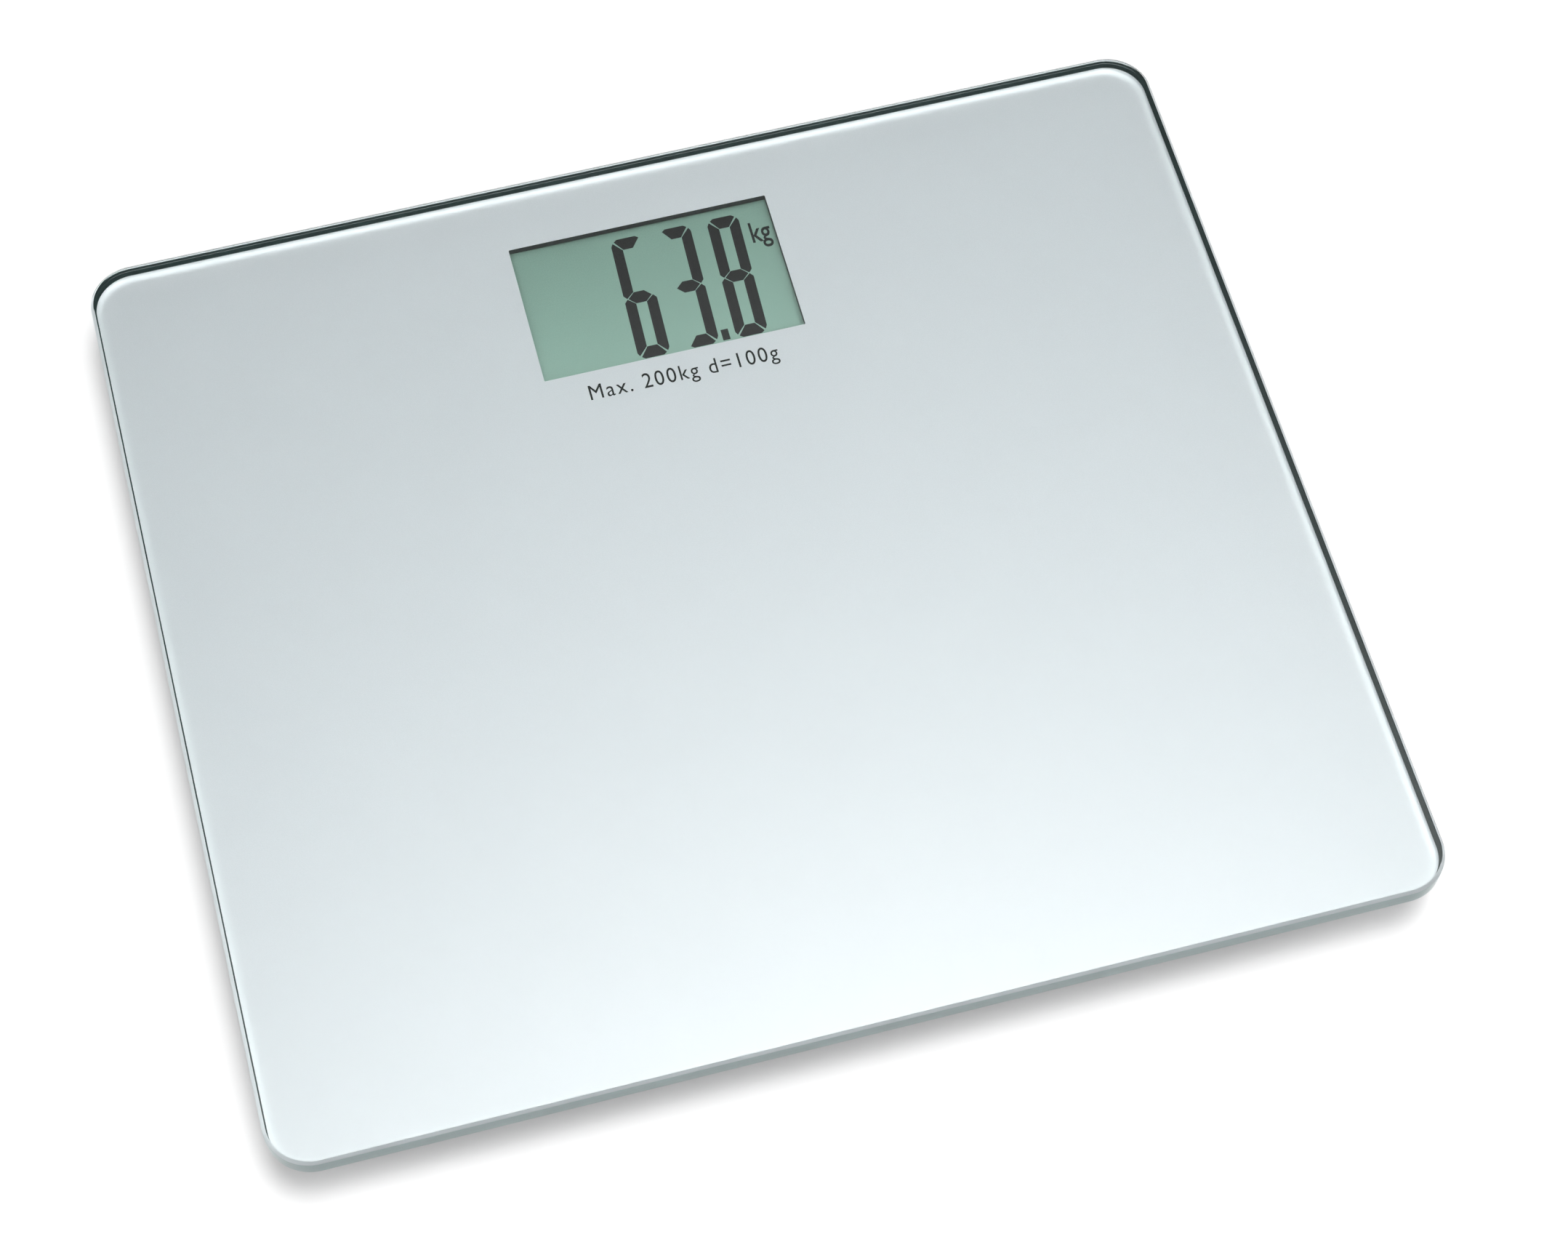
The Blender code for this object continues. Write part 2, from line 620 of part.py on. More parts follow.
def build_lead(corner, knots):
    """A sheathed lead from its cell to the circuit board, bonded along its route."""
    points = smooth_route(knots, LEAD_SPACING)
    curve = bpy.data.curves.new(f"lead_{corner}", "CURVE")
    curve.dimensions = "3D"
    curve.bevel_depth = LEAD_RADIUS
    curve.bevel_resolution = LEAD_BEVEL_STEPS
    curve.use_fill_caps = True
    spline = curve.splines.new("POLY")
    spline.points.add(len(points) - 1)
    for point, place in zip(spline.points, points):
        point.co = (*place, 1.0)
    lead = bpy.data.objects.new(curve.name, curve)
    adopt(lead, lead.name, LEAD_VINYL)


def build_clip(name, centre, along_x):
    """A small channel stuck under the lacquer, which holds a lead up against it."""
    height = LEAD_RADIUS * 2 + GAP + CLIP_FLOOR
    groove = LEAD_RADIUS + GAP
    outline = channel_outline(CLIP_WIDTH, height, CLIP_FLOOR, groove)
    clip = meshed(outline_curve(name, [outline], CLIP_LENGTH))
    clip.location = (*centre, BOND_PLANE)
    clip.rotation_euler = (math.pi / 2, 0.0, math.pi / 2 if along_x else 0.0)
    adopt(clip, name, BLACK_ABS)


def build_leads():
    """The four leads with two clips each."""
    for side, hand in ((-1, "left"), (1, "right")):
        start_out = CELL_SIZE / 2 + LEAD_START
        leave = BRACKET_RADIUS + LEAD_LEAVES
        wall = HOUSING_HALF + LEAD_LEAVES
        inside = HOUSING_HALF - LEAD_END_INSET
        run_start = FOOT_X - leave - LEAD_RISE
        run_end = wall + LEAD_RISE
        back_knots = [
            (side * (FOOT_X - start_out), FOOT_Y, LEAD_CELL_Z),
            (side * (FOOT_X - leave), FOOT_Y, LEAD_CELL_Z),
        ]
        for share in STRAIGHT_KNOT_SHARES:
            x = run_start + (run_end - run_start) * share
            back_knots.append((side * x, FOOT_Y, LEAD_RUN_Z))
        back_knots.append((side * wall, FOOT_Y, LEAD_ENTRY_Z))
        back_knots.append((side * inside, FOOT_Y, LEAD_ENTRY_Z))
        build_lead(f"back_{hand}", back_knots)
        for number, share in enumerate(CLIP_SHARES, 1):
            x = side * (run_start + (run_end - run_start) * share)
            build_clip(f"lead_clip_back_{hand}_{number}", (x, FOOT_Y), True)
        run_front = -FOOT_Y + leave + LEAD_RISE
        run_back = FRONT_LEAD_ENTRY_Y - FRONT_LEAD_TURN
        front_knots = [
            (side * FOOT_X, -FOOT_Y + start_out, LEAD_CELL_Z),
            (side * FOOT_X, -FOOT_Y + leave, LEAD_CELL_Z),
        ]
        for share in STRAIGHT_KNOT_SHARES:
            y = run_front + (run_back - run_front) * share
            front_knots.append((side * FOOT_X, y, LEAD_RUN_Z))
        turn_share = FRONT_LEAD_TURN / 3
        front_knots += [
            (side * (FOOT_X - turn_share), FRONT_LEAD_ENTRY_Y - turn_share, LEAD_RUN_Z),
            (side * (FOOT_X - FRONT_LEAD_TURN), FRONT_LEAD_ENTRY_Y, LEAD_RUN_Z),
            (side * run_end, FRONT_LEAD_ENTRY_Y, LEAD_RUN_Z),
            (side * wall, FRONT_LEAD_ENTRY_Y, LEAD_ENTRY_Z),
            (side * inside, FRONT_LEAD_ENTRY_Y, LEAD_ENTRY_Z),
        ]
        build_lead(f"front_{hand}", front_knots)
        for number, share in enumerate(CLIP_SHARES, 1):
            y = run_front + (run_back - run_front) * share
            build_clip(f"lead_clip_front_{hand}_{number}", (side * FOOT_X, y), False)


# ---- display ----
def build_display():
    """The black frame behind the window, the display glass and its rubber connector."""
    centre = (0.0, WINDOW_Y)
    rim = rounded_outline(FRAME_WIDTH, FRAME_DEPTH, WINDOW_CORNER, SHARP_CORNER_STEPS, centre)
    window = rounded_outline(WINDOW_WIDTH, WINDOW_DEPTH, WINDOW_CORNER, SHARP_CORNER_STEPS, centre)
    frame = plate("lcd_frame", [rim, window], BOND_PLANE - FRAME_THICKNESS, BOND_PLANE)
    adopt(frame, "lcd_frame", BLACK_ABS)
    panel = rounded_outline(LCD_WIDTH, LCD_DEPTH, WINDOW_CORNER, SHARP_CORNER_STEPS, centre)
    adopt(plate("lcd_glass", [panel], LCD_UNDERSIDE, LCD_TOP), "lcd_glass", LCD_GREEN)
    front = LCD_FRONT + ZEBRA_INSET
    low = (-ZEBRA_LENGTH / 2, front, ZEBRA_TOP - ZEBRA_HEIGHT)
    high = (ZEBRA_LENGTH / 2, front + ZEBRA_WIDTH, ZEBRA_TOP)
    zebra = bpy.data.objects.new("zebra_strip", block_mesh(low, high))
    adopt(zebra, "zebra_strip", ZEBRA_RUBBER)


def housing_outline(margin=0.0):
    """The housing's outline, drawn in by a margin."""
    return rounded_outline(
        2 * (HOUSING_HALF - margin), HOUSING_DEPTH - 2 * margin,
        HOUSING_CORNER - margin, CORNER_STEPS, (0.0, HOUSING_Y),
    )


def open_below(solid, bottom):
    """Take away the faces at the bottom of a solid, which leaves an open shell."""
    work = bmesh.new()
    work.from_mesh(solid.data)
    local_bottom = bottom - solid.matrix_world.translation.z
    level = [face for face in work.faces
             if all(abs(vertex.co.z - local_bottom) < WELD_DISTANCE for vertex in face.verts)]
    bmesh.ops.delete(work, geom=level, context="FACES")
    work.to_mesh(solid.data)
    work.free()


def build_housing():
    """The tray under the display: a shell open below, with bosses and holes for the leads."""
    housing = plate("display_housing", [housing_outline()], HOUSING_BOTTOM, HOUSING_TOP)
    open_below(housing, HOUSING_BOTTOM)
    adopt(housing, "display_housing", BLACK_ABS)
    wall = housing.modifiers.new("wall", "SOLIDIFY")
    wall.thickness = HOUSING_WALL
    wall.offset = -1.0
    wall.use_even_offset = True
    roof_middle = HOUSING_TOP - HOUSING_WALL / 2
    for place in BOSS_PLACES:
        join(housing, rod_mesh(BOSS_RADIUS, HOUSING_BOTTOM + GAP, roof_middle, place))
    for place in PCB_SCREW_PLACES:
        join(housing, rod_mesh(PCB_BOSS_RADIUS, PCB_TOP + GAP, roof_middle, place))
    bore = SCREW_RADIUS + GAP
    screw_end = COVER_FLOOR_GAP + COVER_SCREW_LENGTH + 2 * GAP
    for place in BOSS_PLACES:
        cut(housing, rod_mesh(bore, COVER_FLOOR_GAP, screw_end, place, SMALL_STEPS))
    pcb_screw_end = PCB_UNDERSIDE + PCB_SCREW_LENGTH
    for place in PCB_SCREW_PLACES:
        cut(housing, rod_mesh(bore, PCB_UNDERSIDE, pcb_screw_end, place, SMALL_STEPS))
    low = (-POCKET_WIDTH / 2, WINDOW_Y - POCKET_DEPTH / 2, HOUSING_ROOF_UNDERSIDE - HOUSING_WALL)
    high = (POCKET_WIDTH / 2, WINDOW_Y + POCKET_DEPTH / 2, HOUSING_TOP + HOUSING_WALL)
    cut(housing, block_mesh(low, high))
    for side in (-1, 1):
        for y in (FOOT_Y, FRONT_LEAD_ENTRY_Y):
            ends = sorted(side * (HOUSING_HALF + shift)
                          for shift in (-2 * HOUSING_WALL, HOUSING_WALL))
            radius = LEAD_RADIUS + LEAD_HOLE_GAP
            cut(housing, rod_mesh(radius, *ends, (y, LEAD_ENTRY_Z), SMALL_STEPS, "X"))


def build_housing_tape():
    """The bonding tape between the housing's roof and the lacquer."""
    pocket = rounded_outline(
        POCKET_WIDTH, POCKET_DEPTH, WINDOW_CORNER, SHARP_CORNER_STEPS, (0.0, WINDOW_Y)
    )
    outlines = [housing_outline(HOUSING_TAPE_MARGIN), pocket]
    tape = plate("housing_tape", outlines, BOND_PLANE - HOUSING_TAPE_THICKNESS, BOND_PLANE)
    adopt(tape, "housing_tape", FOAM_TAPE)


def build_board():
    """The circuit board with ears beside the battery bay, and what is soldered under it."""
    notch_half = BAY_HALF_WIDTH + PCB_BLOCK_GAP
    notch_back = max(BAY_Y + BAY_HALF_DEPTH + PCB_BLOCK_GAP, PCB_FRONT + PCB_BLOCK_GAP)
    outline = [
        (-PCB_HALF, PCB_FRONT), (-notch_half, PCB_FRONT), (-notch_half, notch_back),
        (notch_half, notch_back), (notch_half, PCB_FRONT), (PCB_HALF, PCB_FRONT),
        (PCB_HALF, PCB_BACK), (-PCB_HALF, PCB_BACK),
    ]
    board = plate("circuit_board", [outline], PCB_UNDERSIDE, PCB_TOP)
    adopt(board, "circuit_board", BOARD_GREEN)
    for place in PCB_SCREW_PLACES:
        radius = SCREW_RADIUS + GAP
        cut(board, rod_mesh(radius, PCB_UNDERSIDE - MM, PCB_TOP + MM, place, SMALL_STEPS))
    half = SWITCH_SIZE / 2
    low = (BUTTON_X - half, BUTTON_Y - half, SWITCH_BODY_BOTTOM)
    high = (BUTTON_X + half, BUTTON_Y + half, SWITCH_TOP)
    switch = bpy.data.objects.new("tact_switch", block_mesh(low, high))
    adopt(switch, "tact_switch", BLACK_EPOXY)
    stem_top = SWITCH_BODY_BOTTOM + SWITCH_BODY / 2
    stem = rod_mesh(SWITCH_STEM_RADIUS, SWITCH_BOTTOM, stem_top, (BUTTON_X, BUTTON_Y))
    join(switch, stem)
    dome = [(0.0, SWITCH_TOP)]
    for step in range(DOME_STEPS):
        angle = step / DOME_STEPS * math.pi / 2
        drop = BLOB_HEIGHT * math.sin(angle)
        dome.append((BLOB_RADIUS * math.cos(angle), SWITCH_TOP - drop))
    dome.append((0.0, SWITCH_TOP - BLOB_HEIGHT))
    blob = turned("controller_blob", dome, steps=SMALL_STEPS)
    blob.location = (BLOB_X, WINDOW_Y, 0.0)
    adopt(blob, "controller_blob", BLACK_EPOXY)


def build_cover():
    """The lid under the housing, with the battery bay, the button hole and screw holes."""
    cover = plate("housing_cover", [housing_outline()], COVER_FLOOR_GAP, COVER_TOP)
    adopt(cover, "housing_cover", BLACK_ABS)
    chamfer(cover, COVER_CHAMFER)
    plate_middle = COVER_FLOOR_GAP + COVER_THICKNESS / 2
    low = (-BAY_HALF_WIDTH, BAY_Y - BAY_HALF_DEPTH, plate_middle)
    high = (BAY_HALF_WIDTH, BAY_Y + BAY_HALF_DEPTH, BAY_TOP)
    join(cover, block_mesh(low, high))
    low = (-DOOR_WIDTH / 2, BAY_Y - DOOR_DEPTH / 2, COVER_FLOOR_GAP - MM)
    high = (DOOR_WIDTH / 2, BAY_Y + DOOR_DEPTH / 2, COVER_TOP + GAP)
    cut(cover, block_mesh(low, high))
    cut(cover, rod_mesh(COIN_RADIUS + COIN_GAP, COVER_TOP, BAY_CEILING, (0.0, BAY_Y), TURN_STEPS))
    reach = TONGUE_REACH + COVER_THICKNESS / 2
    swing = math.hypot(reach, COVER_THICKNESS / 2 + GAP + TONGUE_THICKNESS)
    for side in (-1, 1):
        half = TONGUE_WIDTH / 2 + GUIDE_GAP
        low = (side * TONGUE_SPREAD - half, HINGE_Y - reach - GUIDE_GAP, COVER_TOP)
        high = (side * TONGUE_SPREAD + half, HINGE_Y + reach, HINGE_Z + swing + GUIDE_GAP)
        cut(cover, block_mesh(low, high))
    tail_y = BAY_Y + LEAF_LENGTH
    low = (-LEAF_WIDTH / 2 - GAP, tail_y - LEAF_THICKNESS - GAP, COIN_TOP)
    high = (LEAF_WIDTH / 2 + GAP, tail_y + GAP, BAY_TOP + MM)
    cut(cover, block_mesh(low, high))
    tab_x = -COIN_RADIUS - GAP - LEAF_THICKNESS
    low = (tab_x - GAP, BAY_Y - LEAF_WIDTH / 2 - GAP, COVER_TOP)
    high = (tab_x + LEAF_THICKNESS + GAP, BAY_Y + LEAF_WIDTH / 2 + GAP, BAY_TOP + MM)
    cut(cover, block_mesh(low, high))
    hole_radius = BUTTON_RADIUS + GAP
    cut(cover, rod_mesh(hole_radius, 0.0, BAY_TOP, (BUTTON_X, BUTTON_Y), TURN_STEPS))
    sink_radius = SCREW_HEAD_RADIUS + GUIDE_GAP
    sink_top = COVER_FLOOR_GAP + SCREW_HEAD_HEIGHT + GAP
    for place in BOSS_PLACES:
        cut(cover, rod_mesh(SCREW_RADIUS + GAP, 0.0, HOUSING_TOP, place, SMALL_STEPS))
        cut(cover, rod_mesh(sink_radius, 0.0, sink_top, place))


def build_door():
    """The battery door: a flush panel with two tongues behind its front edge."""
    outline = rounded_outline(
        DOOR_WIDTH - 2 * GAP, DOOR_DEPTH - 2 * GAP, DOOR_CORNER, SOFT_CORNER_STEPS
    )
    door = outline_curve("battery_door", [outline], COVER_THICKNESS)
    door.location = (0.0, BAY_Y - HINGE_Y, 0.0)
    hinge = bpy.data.objects.new("battery_door_hinge", None)
    PARTS.objects.link(hinge)
    hinge.location = (0.0, HINGE_Y, HINGE_Z)
    panel = meshed(door)
    adopt(panel, "battery_door", BLACK_ABS, hinge)
    chamfer(panel, DOOR_CHAMFER)
    inner_face = COVER_THICKNESS / 2
    for side in (-1, 1):
        left = side * TONGUE_SPREAD - TONGUE_WIDTH / 2
        right = left + TONGUE_WIDTH
        bottom = inner_face + GAP
        reach = -COVER_THICKNESS / 2 - TONGUE_REACH
        post_low = (left, 0.0, 0.0)
        post_high = (right, TONGUE_THICKNESS, bottom + TONGUE_THICKNESS)
        join(panel, block_mesh(post_low, post_high), hinge)
        arm_low = (left, reach, bottom)
        arm_high = (right, TONGUE_THICKNESS / 2, bottom + TONGUE_THICKNESS)
        join(panel, block_mesh(arm_low, arm_high), hinge)
    notch_y = BAY_Y + DOOR_DEPTH / 2 - DOOR_NOTCH_INSET - HINGE_Y
    notch = rod_mesh(
        DOOR_NOTCH_RADIUS, -inner_face - MM, -inner_face + DOOR_NOTCH_DEPTH,
        (0.0, notch_y), TURN_STEPS,
    )
    cut(panel, notch, hinge)


def build_battery():
    """The coin cell and the two springs that touch it."""
    coin = turned("coin_cell", [
        (0.0, COIN_TOP),
        (COIN_RADIUS - COIN_CAN_RIM, COIN_TOP),
        (COIN_RADIUS - COIN_CAN_RIM, COIN_TOP - COIN_STEP),
        (COIN_RADIUS, COIN_TOP - COIN_STEP),
        (COIN_RADIUS, COIN_BOTTOM),
        (0.0, COIN_BOTTOM),
    ])
    coin.location = (0.0, BAY_Y, 0.0)
    adopt(coin, "coin_cell", CELL_NICKEL)
    tail_top = BAY_TOP + LEAF_TAIL / 2 - LEAF_BOTTOM
    leaf_outline = [
        (0.0, 0.0), (LEAF_LENGTH, 0.0), (LEAF_LENGTH, tail_top),
        (LEAF_LENGTH - LEAF_THICKNESS, tail_top), (LEAF_LENGTH - LEAF_THICKNESS, LEAF_THICKNESS),
        (0.0, LEAF_THICKNESS),
    ]
    leaf = outline_curve("contact_minus", [leaf_outline], LEAF_WIDTH)
    leaf.location = (0.0, BAY_Y, LEAF_BOTTOM)
    leaf.rotation_euler = (math.pi / 2, 0.0, math.pi / 2)
    adopt(leaf, "contact_minus", SPRING_BRASS)
    bend = BAY_TOP + GAP - COIN_BOTTOM
    tab_outline = [
        (0.0, 0.0), (LEAF_THICKNESS, 0.0), (LEAF_THICKNESS, bend + LEAF_THICKNESS),
        (-LEAF_TAIL, bend + LEAF_THICKNESS), (-LEAF_TAIL, bend), (0.0, bend),
    ]
    tab = outline_curve("contact_plus", [tab_outline], LEAF_WIDTH)
    tab.location = (-COIN_RADIUS - GAP - LEAF_THICKNESS, BAY_Y, COIN_BOTTOM)
    tab.rotation_euler = (math.pi / 2, 0.0, 0.0)
    adopt(tab, "contact_plus", SPRING_BRASS)


def build_button():
    """The unit button: a flange keeps it in the cover, and its top waits below the switch."""
    flange_bottom = COVER_TOP + GAP
    flange_top = SWITCH_BOTTOM - BUTTON_TRAVEL - GAP
    face = COVER_FLOOR_GAP - BUTTON_PROUD
    button = turned("unit_button", [
        (0.0, flange_top),
        (BUTTON_RADIUS + BUTTON_FLANGE, flange_top),
        (BUTTON_RADIUS + BUTTON_FLANGE, flange_bottom),
        (BUTTON_RADIUS, flange_bottom),
        (BUTTON_RADIUS, face + BUTTON_CHAMFER),
        (BUTTON_RADIUS - BUTTON_CHAMFER, face),
        (0.0, face),
    ])
    button.location = (BUTTON_X, BUTTON_Y, 0.0)
    adopt(button, "unit_button", GREY_RUBBER)


def build_screws():
    """Four cover screws and two board screws, heads down."""
    jobs = [("cover_screw", COVER_FLOOR_GAP, COVER_SCREW_LENGTH, BOSS_PLACES)]
    board_head = PCB_UNDERSIDE - GAP - SCREW_HEAD_HEIGHT
    jobs.append(("board_screw", board_head, PCB_SCREW_LENGTH, PCB_SCREW_PLACES))
    for kind, bottom, length, places in jobs:
        for number, place in enumerate(places, 1):
            shoulder = bottom + SCREW_HEAD_HEIGHT
            screw = turned(f"{kind}_{number}", [
                (0.0, bottom + length),
                (SCREW_RADIUS * 0.5, bottom + length),
                (SCREW_RADIUS, bottom + length - SCREW_RADIUS),
                (SCREW_RADIUS, shoulder),
                (SCREW_HEAD_RADIUS, shoulder),
                (SCREW_HEAD_RADIUS, bottom + GAP),
                (SCREW_HEAD_RADIUS - GAP, bottom),
                (0.0, bottom),
            ], steps=SMALL_STEPS)
            screw.location = (*place, 0.0)
            adopt(screw, screw.name, SCREW_STEEL)


def build_label():
    """The plain label under the cover."""
    top = COVER_FLOOR_GAP - GAP
    outline = rounded_outline(
        LABEL_WIDTH, LABEL_DEPTH, LABEL_CORNER, SOFT_CORNER_STEPS, (0.0, WINDOW_Y)
    )
    label = plate("rating_label", [outline], top - LABEL_THICKNESS, top)
    adopt(label, "rating_label", LABEL_FILM)


build_platform()
for corner_name, corner_side, corner_end in (
    ("front_left", -1, -1),
    ("front_right", 1, -1),
    ("back_left", -1, 1),
    ("back_right", 1, 1),
):
    build_foot(corner_name, corner_side, corner_end)
build_leads()
build_display()
build_housing()
build_housing_tape()
build_board()
build_cover()
build_door()
build_battery()
build_button()
build_screws()
build_label()
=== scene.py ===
# %% [markdown]
# # A glass bathroom scale
# The scale is a plate of tempered glass with silver lacquer on its underside, a
# large liquid-crystal display near the back edge, and four load-cell feet. The
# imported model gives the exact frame, so this script only adds finer pieces and
# finishes around it. Everything is in metres, with +Z up and +Y to the display.

# %% Load the frame
import math

import bmesh
import bpy
from mathutils import Matrix, Vector


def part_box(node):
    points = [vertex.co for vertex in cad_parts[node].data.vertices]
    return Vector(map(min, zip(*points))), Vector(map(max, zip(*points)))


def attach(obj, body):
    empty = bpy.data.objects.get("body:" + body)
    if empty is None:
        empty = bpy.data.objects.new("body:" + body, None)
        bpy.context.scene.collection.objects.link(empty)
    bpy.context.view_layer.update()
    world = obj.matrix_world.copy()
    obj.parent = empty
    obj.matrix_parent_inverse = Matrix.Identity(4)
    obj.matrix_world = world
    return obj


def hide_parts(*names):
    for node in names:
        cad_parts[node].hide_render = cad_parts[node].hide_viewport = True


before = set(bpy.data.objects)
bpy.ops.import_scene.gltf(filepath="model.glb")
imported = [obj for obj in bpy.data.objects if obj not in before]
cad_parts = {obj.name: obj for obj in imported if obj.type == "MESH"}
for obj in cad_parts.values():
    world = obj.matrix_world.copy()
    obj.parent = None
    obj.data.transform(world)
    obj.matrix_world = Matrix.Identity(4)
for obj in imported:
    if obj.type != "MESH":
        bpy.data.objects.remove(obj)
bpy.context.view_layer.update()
scene = bpy.context.scene
MM = 0.001

# %% [markdown]
# ## Camera
# The camera looks down at the glass from the front left. Its place is worked out
# from a point on the glass, two angles and a distance, which is easier to change
# than three separate coordinates. A small roll tips the horizon.

# %% Camera
CAMERA_ELEVATION = math.radians(61.649)
CAMERA_AZIMUTH = math.radians(-15.443)
CAMERA_ROLL = math.radians(0.622)
CAMERA_TARGET = Vector((8.819, -25.308, 28.0)) * MM
CAMERA_DISTANCE = 1235.893 * MM
CAMERA_LENS_MM = 82.506
SENSOR_MM = 36.0


def camera_axes(azimuth, elevation, roll):
    """The camera's right, up and backward directions."""
    reach = math.cos(elevation)
    back = Vector((math.sin(azimuth) * reach, -math.cos(azimuth) * reach, math.sin(elevation)))
    level = Vector((math.cos(azimuth), math.sin(azimuth), 0.0))
    upright = back.cross(level)
    right = level * math.cos(roll) + upright * math.sin(roll)
    up = upright * math.cos(roll) - level * math.sin(roll)
    return right, up, back


right, up, back = camera_axes(CAMERA_AZIMUTH, CAMERA_ELEVATION, CAMERA_ROLL)
camera_data = bpy.data.cameras.new("camera")
camera_data.lens = CAMERA_LENS_MM
camera_data.sensor_width = SENSOR_MM
camera_data.sensor_fit = "HORIZONTAL"
camera_data.clip_start = 0.05
camera_data.clip_end = 50.0
camera = bpy.data.objects.new("camera", camera_data)
scene.collection.objects.link(camera)
turned = Matrix((right, up, back)).transposed().to_4x4()
camera.matrix_world = Matrix.Translation(CAMERA_TARGET + back * CAMERA_DISTANCE) @ turned
scene.camera = camera
print("camera at", tuple(round(c, 3) for c in camera.matrix_world.translation))

# %% [markdown]
# ## Node helpers
# Every finish below is a small node tree. One helper adds a node and fills in its
# sockets, and another makes a material and hands back its shader, so that each
# finish can be read as a short list of what feeds what.


# %% Node helpers
def add_node(tree, kind, values=(), **settings):
    """A new node. values maps a socket's name or number to a constant or another socket."""
    node = tree.nodes.new(kind)
    for key, value in settings.items():
        setattr(node, key, value)
    for key, value in dict(values).items():
        if isinstance(value, bpy.types.NodeSocket):
            tree.links.new(value, node.inputs[key])
        else:
            node.inputs[key].default_value = value
    return node


def mix_colours(tree, share, first, second):
    """The colour between first and second, by share."""
    mix = add_node(tree, "ShaderNodeMix", {0: share, 6: first, 7: second}, data_type="RGBA")
    return mix.outputs[2]


def rescale(tree, value, low, high, to_low, to_high, smooth=False):
    """value, moved from low..high to to_low..to_high and clamped there."""
    steps = {"Value": value, 1: low, 2: high, 3: to_low, 4: to_high}
    node = add_node(tree, "ShaderNodeMapRange", steps)
    if smooth:
        node.interpolation_type = "SMOOTHSTEP"
    return node.outputs["Result"]


def arithmetic(tree, operation, first, second=0.0):
    """One sum of two numbers or sockets."""
    return add_node(tree, "ShaderNodeMath", {0: first, 1: second}, operation=operation).outputs[0]


def object_place(tree):
    """The Object coordinates that a pattern is laid out on."""
    return add_node(tree, "ShaderNodeTexCoord").outputs["Object"]


GRAIN_RANGE = (0.3, 0.7)


def grain(tree, size, detail=3.0, stretch=(1.0, 1.0, 1.0)):
    """Noise whose lumps are about size metres across. Its values fill about GRAIN_RANGE."""
    mapped = add_node(tree, "ShaderNodeMapping", {"Vector": object_place(tree), "Scale": stretch})
    values = {"Vector": mapped.outputs[0], "Scale": 1.0 / size, "Detail": detail}
    return add_node(tree, "ShaderNodeTexNoise", values).outputs[0]


def bumped(tree, height, distance, strength=1.0, over=None):
    """A bump of that depth in metres, which may lie over another bump."""
    values = {"Height": height, "Distance": distance, "Strength": strength}
    if over is not None:
        values["Normal"] = over
    return add_node(tree, "ShaderNodeBump", values).outputs[0]


def new_finish(name, **values):
    """A material with one Principled shader. Returns the material, its tree and the shader."""
    material = bpy.data.materials.new(name)
    material.use_nodes = True
    shader = material.node_tree.nodes["Principled BSDF"]
    for key, value in values.items():
        shader.inputs[key.replace("_", " ")].default_value = value
    return material, material.node_tree, shader


def feed(tree, socket, shader, name):
    """Joins a socket to one of the shader's inputs."""
    tree.links.new(socket, shader.inputs[name])


def two_tone(tree, shader, pattern, first, second):
    """Colours the shader between first and second, by a pattern."""
    feed(tree, mix_colours(tree, pattern, first, second), shader, "Base Color")


print("node helpers ready")

# %% [markdown]
# ## Light and floor
# A product studio is a white room with one very large soft light overhead. A world
# whose brightness falls away smoothly from that light gives the long, even sheen
# that a flat glass plate shows, with no hard edge anywhere. The view transform is
# the plain one, so that white paper stays white.

# %% Studio light
scene.view_settings.view_transform = "Standard"
LIGHT_MIDDLE = (0.12, 0.02)
LIGHT_SPREAD = (0.22, 0.315)
LIGHT_PEAK = 12.0
LIGHT_EDGE = 1.2
ROOM_FAR = 0.04
ROOM_NEAR = 0.90
ROOM_BELOW = 0.60
WALLS_FROM, WALLS_TO = -0.1, 0.35
HORIZON_HALF = 0.02

world = bpy.data.worlds.new("studio")
scene.world = world
world.use_nodes = True
room = world.node_tree
toward = add_node(room, "ShaderNodeTexCoord").outputs["Generated"]
split = add_node(room, "ShaderNodeSeparateXYZ", {0: toward})
squares = []
for axis, middle, spread in zip("XY", LIGHT_MIDDLE, LIGHT_SPREAD):
    away = arithmetic(room, "SUBTRACT", split.outputs[axis], middle)
    share = arithmetic(room, "DIVIDE", away, spread)
    squares.append(arithmetic(room, "MULTIPLY", share, share))
total = arithmetic(room, "ADD", *squares)
fall = arithmetic(room, "POWER", 1 / math.e, arithmetic(room, "POWER", total, LIGHT_EDGE))
lobe = arithmetic(room, "MULTIPLY", fall, LIGHT_PEAK)
walls = rescale(room, split.outputs["Y"], WALLS_FROM, WALLS_TO, ROOM_NEAR, ROOM_FAR, smooth=True)
overhead = arithmetic(room, "ADD", lobe, walls)
is_above = rescale(room, split.outputs["Z"], -HORIZON_HALF, HORIZON_HALF, 0.0, 1.0)
share_above = arithmetic(room, "MULTIPLY", overhead, is_above)
share_below = arithmetic(room, "MULTIPLY", arithmetic(room, "SUBTRACT", 1.0, is_above), ROOM_BELOW)
brightness = arithmetic(room, "ADD", share_above, share_below)
backdrop = room.nodes["Background"]
backdrop.inputs["Color"].default_value = (1.0, 1.0, 1.0, 1.0)
room.links.new(brightness, backdrop.inputs["Strength"])
print("light peak", LIGHT_PEAK, "room", ROOM_FAR, "to", ROOM_NEAR)

# %% Floor
FLOOR_HALF = 6.0
FLOOR_Z = -0.2 * MM

